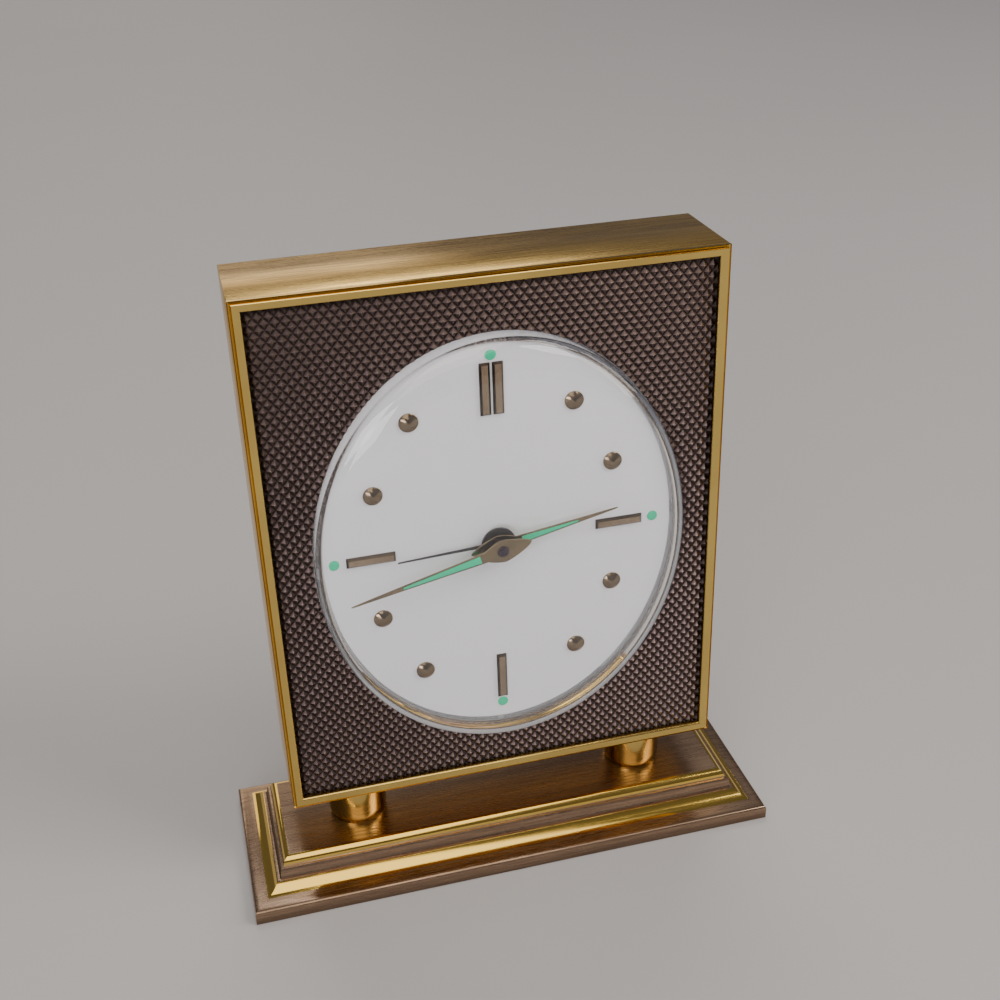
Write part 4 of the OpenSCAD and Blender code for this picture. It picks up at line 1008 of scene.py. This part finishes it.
@dataclass
class Markers(FrontPiece):
    """The batons at the quarters, the turned cones between them and the luminous dots, in millimetres."""

    dial: float = 2.4
    baton_w: float = 1.8
    baton_h: float = 0.6
    baton_slope: float = 0.36
    batons: tuple[tuple[float, float, float, float], ...] = (
        (-1.1, 28.2, 9.2, 0), (1.1, 28.2, 9.2, 0), (0, -28.2, 9.2, 0), (21.9, 0, 8.4, 90), (-21.9, 0, 8.4, 90))
    stud_r: float = 1.65
    stud_h: float = 0.9
    studs: tuple[Point, ...] = ((27.9, 30), (23.9, 60))
    dots: tuple[Point, ...] = ((0, 34.1), (0, -34.1), (28.2, 0), (-28.2, 0))

    def baton(self, across: float, up: float, length: float, turn: float) -> BMesh:
        """One baton with a flat ridge and sloping flanks.

        Args:
            across: The middle's place across the dial.
            up: The middle's height on the dial.
            length: The baton's length.
            turn: Its turn on the dial, in degrees.

        Returns:
            A closed mesh in the frame's coordinates.
        """
        part = bmesh.new()
        bmesh.ops.create_cube(part, size=1.0)
        bmesh.ops.scale(part, vec=(self.baton_w, self.baton_h, length), verts=part.verts)
        crown = next(face for face in part.faces if face.normal.y < -0.9)
        bmesh.ops.bevel(part, geom=list(crown.edges), offset=self.baton_slope, affect="EDGES", segments=1, profile=0.5,
                        material=-1)
        place = Matrix.Translation(self.front.place(across * MM, up * MM, (self.dial - self.baton_h / 2) * MM))
        matrix = place @ Matrix.Rotation(math.radians(turn), 4, "Y") @ Matrix.Scale(MM, 4)
        bmesh.ops.transform(part, matrix=matrix, verts=part.verts)
        return part

    def on_dial(self, profile: Sequence[Point], steps: int, across: float, up: float) -> BMesh:
        """A turned shape that stands on the dial."""
        return turned(profile, steps, self.front.place(across * MM, up * MM, self.dial * MM), FORWARD)

    def dress(self) -> None:
        """Makes the two pieces of markers and the dots."""
        studs, batons, dots = bmesh.new(), bmesh.new(), bmesh.new()
        for values in self.batons:
            join_into(batons, self.baton(*values))
        r, h = self.stud_r, self.stud_h
        cone = [(0, 0), (r - 0.04, 0), (r, 0.05), (r, h * 0.26), (r - 0.07, h * 0.34), (0.12, h * 0.985), (0.0, h)]
        for sx in (-1, 1):
            for sz in (-1, 1):
                for far, angle in self.studs:
                    a = math.radians(angle)
                    join_into(studs, self.on_dial(cone, 48, sx * far * math.sin(a), sz * far * math.cos(a)))
        for across, up in self.dots:
            drop = [(0, 0), (0.95, 0), (0.93, 0.12), (0.7, 0.19), (0, 0.22)]
            join_into(dots, self.on_dial(drop, 36, across, up))
        self.shop.finish(studs, "hour_studs", Body.CASE, "marker_metal", smooth=40.0, look="stud_metal")
        self.shop.finish(batons, "hour_batons", Body.CASE, "marker_metal", ["hour_markers"], smooth=20.0)
        self.shop.finish(dots, "dial_lume_dots", Body.CASE, "lume", ["lume_dots"], smooth=60.0)


@dataclass
class Hand(FrontPiece):
    """A lance hand in millimetres: a lozenge round the hub, a tapered blade and a slot for the paint."""

    body: Body
    node: str
    length: float
    width: float
    hub: float
    bore: float
    depth: float
    direction: float
    inlay_start: float = 4.0
    thick: float = 0.3
    border: float = 0.22
    easing: float = 0.09
    boss_ahead: float = 4.05
    boss_behind: float = 5.2
    boss_half: float = 2.1
    boss_power: float = 1.35
    boss_front: float = -0.03

    def inlay_end(self) -> Point:
        """Where the inlay ends, and the blade's half-width there."""
        return self.length * 0.66, self.width * 0.22

    def slot(self) -> list[Point]:
        """Draws the slot for the paint.

        Returns:
            Its four corners.
        """
        (reach, half), start = self.inlay_end(), self.inlay_start
        start_w = self.width / 2 - self.border - (self.width / 2 - half) / (reach - start + 1)
        end_w = max(0.08, half - self.border)
        return [(start, start_w), (reach, end_w), (reach, -end_w), (start, -start_w)]

    def blade(self) -> BMesh:
        """The blade with its slot and eased edges.

        Returns:
            A closed mesh, drawn along X.
        """
        start, half = self.inlay_start, self.width / 2
        outer = [(0.0, self.width * 0.36), (start - 1, half), (start, half - 0.03), self.inlay_end(),
                 (self.length - 0.6, 0.1), (self.length, 0.03)]
        mesh = bmesh.new()
        upper = [mesh.verts.new((x, y, 0.0)) for x, y in outer]
        lower = [mesh.verts.new((x, -y, 0.0)) for x, y in reversed(outer)][::-1]
        slot = [mesh.verts.new((x, y, 0.0)) for x, y in self.slot()]
        root, wide, begin, reach, taper, tip_reflection = zip(upper, lower)
        for corners in ((*root, *wide[::-1]), (wide[0], begin[0], slot[0], slot[3], begin[1], wide[1]),
                        (begin[0], reach[0], slot[1], slot[0]), (slot[3], slot[2], reach[1], begin[1]),
                        (reach[0], taper[0], taper[1], reach[1], slot[2], slot[1]), (*taper, *tip_reflection[::-1])):
            mesh.faces.new(corners)
        bmesh.ops.recalc_face_normals(mesh, faces=mesh.faces)
        thickened(mesh, self.thick)
        bmesh.ops.recalc_face_normals(mesh, faces=mesh.faces)
        bevel_sharp(mesh, self.easing, 60.0, only=lambda e: all(v.co.z < 0.01 for v in e.verts))
        return mesh

    def boss(self) -> BMesh:
        """The rounded lozenge round the bore.

        Returns:
            A closed mesh, drawn along X.
        """
        power, steps = self.boss_power, 96
        plate, rims = bmesh.new(), []
        for i in range(steps):
            x, y = math.cos(math.tau * i / steps), math.sin(math.tau * i / steps)
            long = self.boss_ahead if x > 0 else self.boss_behind
            far = ((abs(x) / long) ** power + (abs(y) / self.boss_half) ** power) ** (-1 / power)
            rims.append([plate.verts.new((x * out, y * out, self.boss_front)) for out in (self.bore, far)])
        for (inner, outer), (next_inner, next_outer) in zip(rims, rims[1:] + rims[:1]):
            plate.faces.new((inner, outer, next_outer, next_inner))
        thickened(plate, self.thick - 0.02 - self.boss_front)
        bmesh.ops.recalc_face_normals(plate, faces=plate.faces)
        bevel_sharp(plate, self.easing, 60.0, only=lambda e: all(v.co.z < 0 for v in e.verts))
        return plate

    def inlay(self) -> BMesh:
        """The slightly crowned paint that fills the slot.

        Returns:
            A closed mesh, drawn along X.
        """
        mesh = bmesh.new()
        mesh.faces.new([mesh.verts.new((x, y, self.thick)) for x, y in self.slot()])
        front = thickened(mesh, 0.04 - self.thick)
        facing = [face for face in mesh.faces if all(v in front for v in face.verts)]
        crown = bmesh.ops.poke(mesh, faces=facing, offset=0.0)
        bmesh.ops.translate(mesh, vec=(0, 0, -0.06), verts=crown["verts"])
        return mesh

    def dress(self) -> None:
        """Joins blade, lozenge and the hub's ring behind it, and finishes the hand and its paint."""
        place = self.front.on_dial(self.depth, self.direction)
        mesh = moved(self.blade(), place)
        join_into(mesh, moved(self.boss(), place))
        near, far = 0.1, self.thick + 0.1
        ring = [(self.bore, near), (self.hub, near), (self.hub, far), (self.bore, far)]
        join_into(mesh, turned(ring, 64, self.front.place(0, 0, self.depth * MM), BACKWARD))
        self.shop.finish(mesh, f"{self.node}_lance", self.body, "hand_metal", [self.node], smooth=30.0)
        paint = moved(self.inlay(), place)
        self.shop.finish(paint, f"{self.node}_paint", self.body, "lume", [f"{self.node}_lume"], smooth=60.0)


@dataclass
class AlarmHand(FrontPiece):
    """The thin dark alarm hand on its round hub, in millimetres."""

    length: float = 17.6
    hub: float = 3.0
    bore: float = 1.81
    depth: float = 1.0
    direction: float = 267.3
    thick: float = 0.3
    root_w: float = 0.56
    tip_w: float = 0.2

    def dress(self) -> None:
        """Makes and finishes the hand."""
        hub, bore, low = self.hub, self.bore, -0.05
        outline = [(bore, low), (hub - 0.08, low), (hub, low + 0.08), (hub, self.thick), (bore, self.thick)]
        mesh = turned(outline, 64, self.front.place(0, 0, self.depth * MM), BACKWARD)
        needle = bmesh.new()
        bmesh.ops.create_cube(needle, size=1.0)
        bmesh.ops.scale(needle, vec=(self.length - 2.0, 1.0, self.thick), verts=needle.verts)
        bmesh.ops.translate(needle, vec=(self.length / 2 + 1.0, 0, self.thick / 2), verts=needle.verts)
        for vert in needle.verts:
            vert.co.y *= self.root_w if vert.co.x < 5 else self.tip_w
        bevel_sharp(needle, 0.06, 60.0)
        join_into(mesh, moved(needle, self.front.on_dial(self.depth, self.direction)))
        self.shop.finish(mesh, "alarm_hand_needle", Body.ALARM_POINTER, "alarm_hand_black", ["alarm_hand"])


@dataclass
class Back(SubAssembly):
    """The pieces at the back: copies of the frame's solids with slightly rounded edges."""

    offset: float = 0.12 * MM
    pieces: tuple[tuple[str, Body], ...] = (
        ("back_screws", Body.CASE), ("time_key", Body.TIME_WINDER), ("time_key_wing", Body.TIME_WING),
        ("alarm_key", Body.ALARM_WINDER), ("alarm_key_wing", Body.ALARM_WING), ("time_knob", Body.TIME_SETTER),
        ("alarm_knob", Body.ALARM_SETTER), ("alarm_stop_button", Body.STOP_BUTTON),
    )

    def dress(self) -> None:
        """Merges, eases and finishes each copy."""
        for node, body in self.pieces:
            mesh = bmesh.new()
            mesh.from_mesh(bpy.data.objects[node].data)
            bmesh.ops.remove_doubles(mesh, verts=mesh.verts, dist=WELD)
            bmesh.ops.dissolve_limit(mesh, angle_limit=math.radians(1.0), verts=mesh.verts, edges=mesh.edges)
            bevel_sharp(mesh, self.offset, 40.0)
            self.shop.finish(mesh, f"{node}_dressed", body, "polished_gold", [node], smooth=32.0)


# Light, floor and camera


@dataclass(frozen=True)
class Lamp:
    """A soft rectangular lamp: its place and size in metres, its power in watts and where it looks."""

    name: str
    at: tuple[float, float, float]
    size: Point
    power: float
    color: Color
    aim: tuple[float, float, float] = (0.0, 0.0, 0.06)

    def build(self) -> None:
        """Adds the lamp to the scene."""
        data = bpy.data.lights.new(self.name, "AREA")
        data.shape = "RECTANGLE"
        data.size, data.size_y = self.size
        data.energy = self.power
        data.color = self.color
        lamp = bpy.data.objects.new(self.name, data)
        lamp.location = self.at
        lamp.rotation_euler = (Vector(self.aim) - Vector(self.at)).to_track_quat("-Z", "Y").to_euler()
        bpy.context.scene.collection.objects.link(lamp)


@dataclass
class Studio:
    """A plain pale floor, large soft lamps and the camera at the photograph's place."""

    eye: tuple[float, float, float] = (-46.593, -201.599, 180.689)
    tilt: tuple[float, float, float] = (61.7802, 1.8148, -14.7176)
    lens: float = 48.277
    sky: Color = (0.62, 0.6, 0.64)
    sky_strength: float = 0.2
    floor_size: float = 3.0
    floor_tones: tuple[Color, Color] = ((0.52, 0.51, 0.52), (0.56, 0.55, 0.56))
    lamps: tuple[Lamp, ...] = (
        Lamp("key", (-0.14, -0.56, 0.94), (0.75, 1.25), 6.0, (1.0, 0.93, 0.82)),
        Lamp("left", (-0.62, -0.9, 0.22), (0.45, 0.3), 3.0, (0.95, 0.93, 1.0)),
        Lamp("fill", (0.8, -0.6, 1.0), (0.5, 0.5), 6.0, (1.0, 0.96, 0.92)),
        Lamp("right", (0.95, -0.3, 0.45), (0.3, 0.5), 2.0, (1.0, 0.9, 0.75)),
        Lamp("back", (-0.3, 2.0, 0.8), (1.3, 0.9), 4.5, (1.0, 0.88, 0.7)),
        Lamp("far", (0.2, 1.2, 2.2), (1.2, 1.0), 14.0, (1.0, 0.98, 0.95), (0.1, 0.9, 0.0)),
    )

    def camera(self) -> None:
        """Sets the camera where the photograph was taken."""
        data = bpy.data.cameras.new("camera")
        data.lens = self.lens
        data.sensor_width = 36.0
        data.clip_start = 0.01
        camera = bpy.data.objects.new("camera", data)
        camera.location = Vector(self.eye) * MM
        camera.rotation_euler = [math.radians(a) for a in self.tilt]
        bpy.context.scene.collection.objects.link(camera)
        bpy.context.scene.camera = camera

    def floor(self) -> None:
        """Lays a wide pale floor."""
        mesh = bmesh.new()
        bmesh.ops.create_grid(mesh, x_segments=1, y_segments=1, size=self.floor_size)
        data = bpy.data.meshes.new("floor")
        mesh.to_mesh(data)
        mesh.free()
        floor = bpy.data.objects.new("floor", data)
        book = Surface("floor_pale")
        tones = [opaque(color) for color in self.floor_tones]
        book.give(Base_Color=book.blend(book.noise(book.place(), 3.0, 3.0), *tones), Roughness=0.6)
        data.materials.append(book.material)
        bpy.context.scene.collection.objects.link(floor)

    def world(self) -> None:
        """Sets an even, dim surrounding light."""
        world = bpy.data.worlds.new("studio")
        world.use_nodes = True
        sky = world.node_tree.nodes["Background"]
        sky.inputs[0].default_value = opaque(self.sky)
        sky.inputs[1].default_value = self.sky_strength
        bpy.context.scene.world = world

    def build(self) -> None:
        """Sets up everything round the clock."""
        self.camera()
        self.floor()
        self.world()
        for lamp in self.lamps:
            lamp.build()


def dress_nodes(frame: dict, materials: dict[str, bpy.types.Material]) -> None:
    """Gives every node of the frame its slot's finish.

    Args:
        materials: The finishes by slot name.
    """
    for part in frame["record"]["subparts"]:
        node = frame["nodes"][part["node"]]
        node.data.materials.clear()
        node.data.materials.append(materials[part["material_slot"]])


def main() -> None:
    """Loads the frame and builds everything round it."""
    logging.basicConfig(level=logging.INFO, format="%(name)s: %(message)s")
    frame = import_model()
    effects = Effects()
    materials = {finish.name: finish.material(effects) for finish in FINISHES}
    dress_nodes(frame, materials)
    shop, front = Workshop(materials), CaseFront()
    clock = [Plinth(shop), Foot(shop, -1), Foot(shop, 1)]
    clock += [kind(shop, front) for kind in (CaseShell, KnurledPanel, Glass, Markers)]
    clock += [
        Hand(shop, front, Body.MINUTE, "minute_hand", length=27.0, width=1.9, hub=1.85, bore=1.01, depth=-1.9,
             direction=42.8 * 6),
        Hand(shop, front, Body.HOUR, "hour_hand", length=21.4, width=1.7, hub=2.0, bore=1.41, depth=0.0,
             direction=79.3),
        AlarmHand(shop, front),
        Back(shop),
    ]
    for assembly in clock:
        assembly.dress()
    Studio().build()


if __name__ == "__main__":
    main()
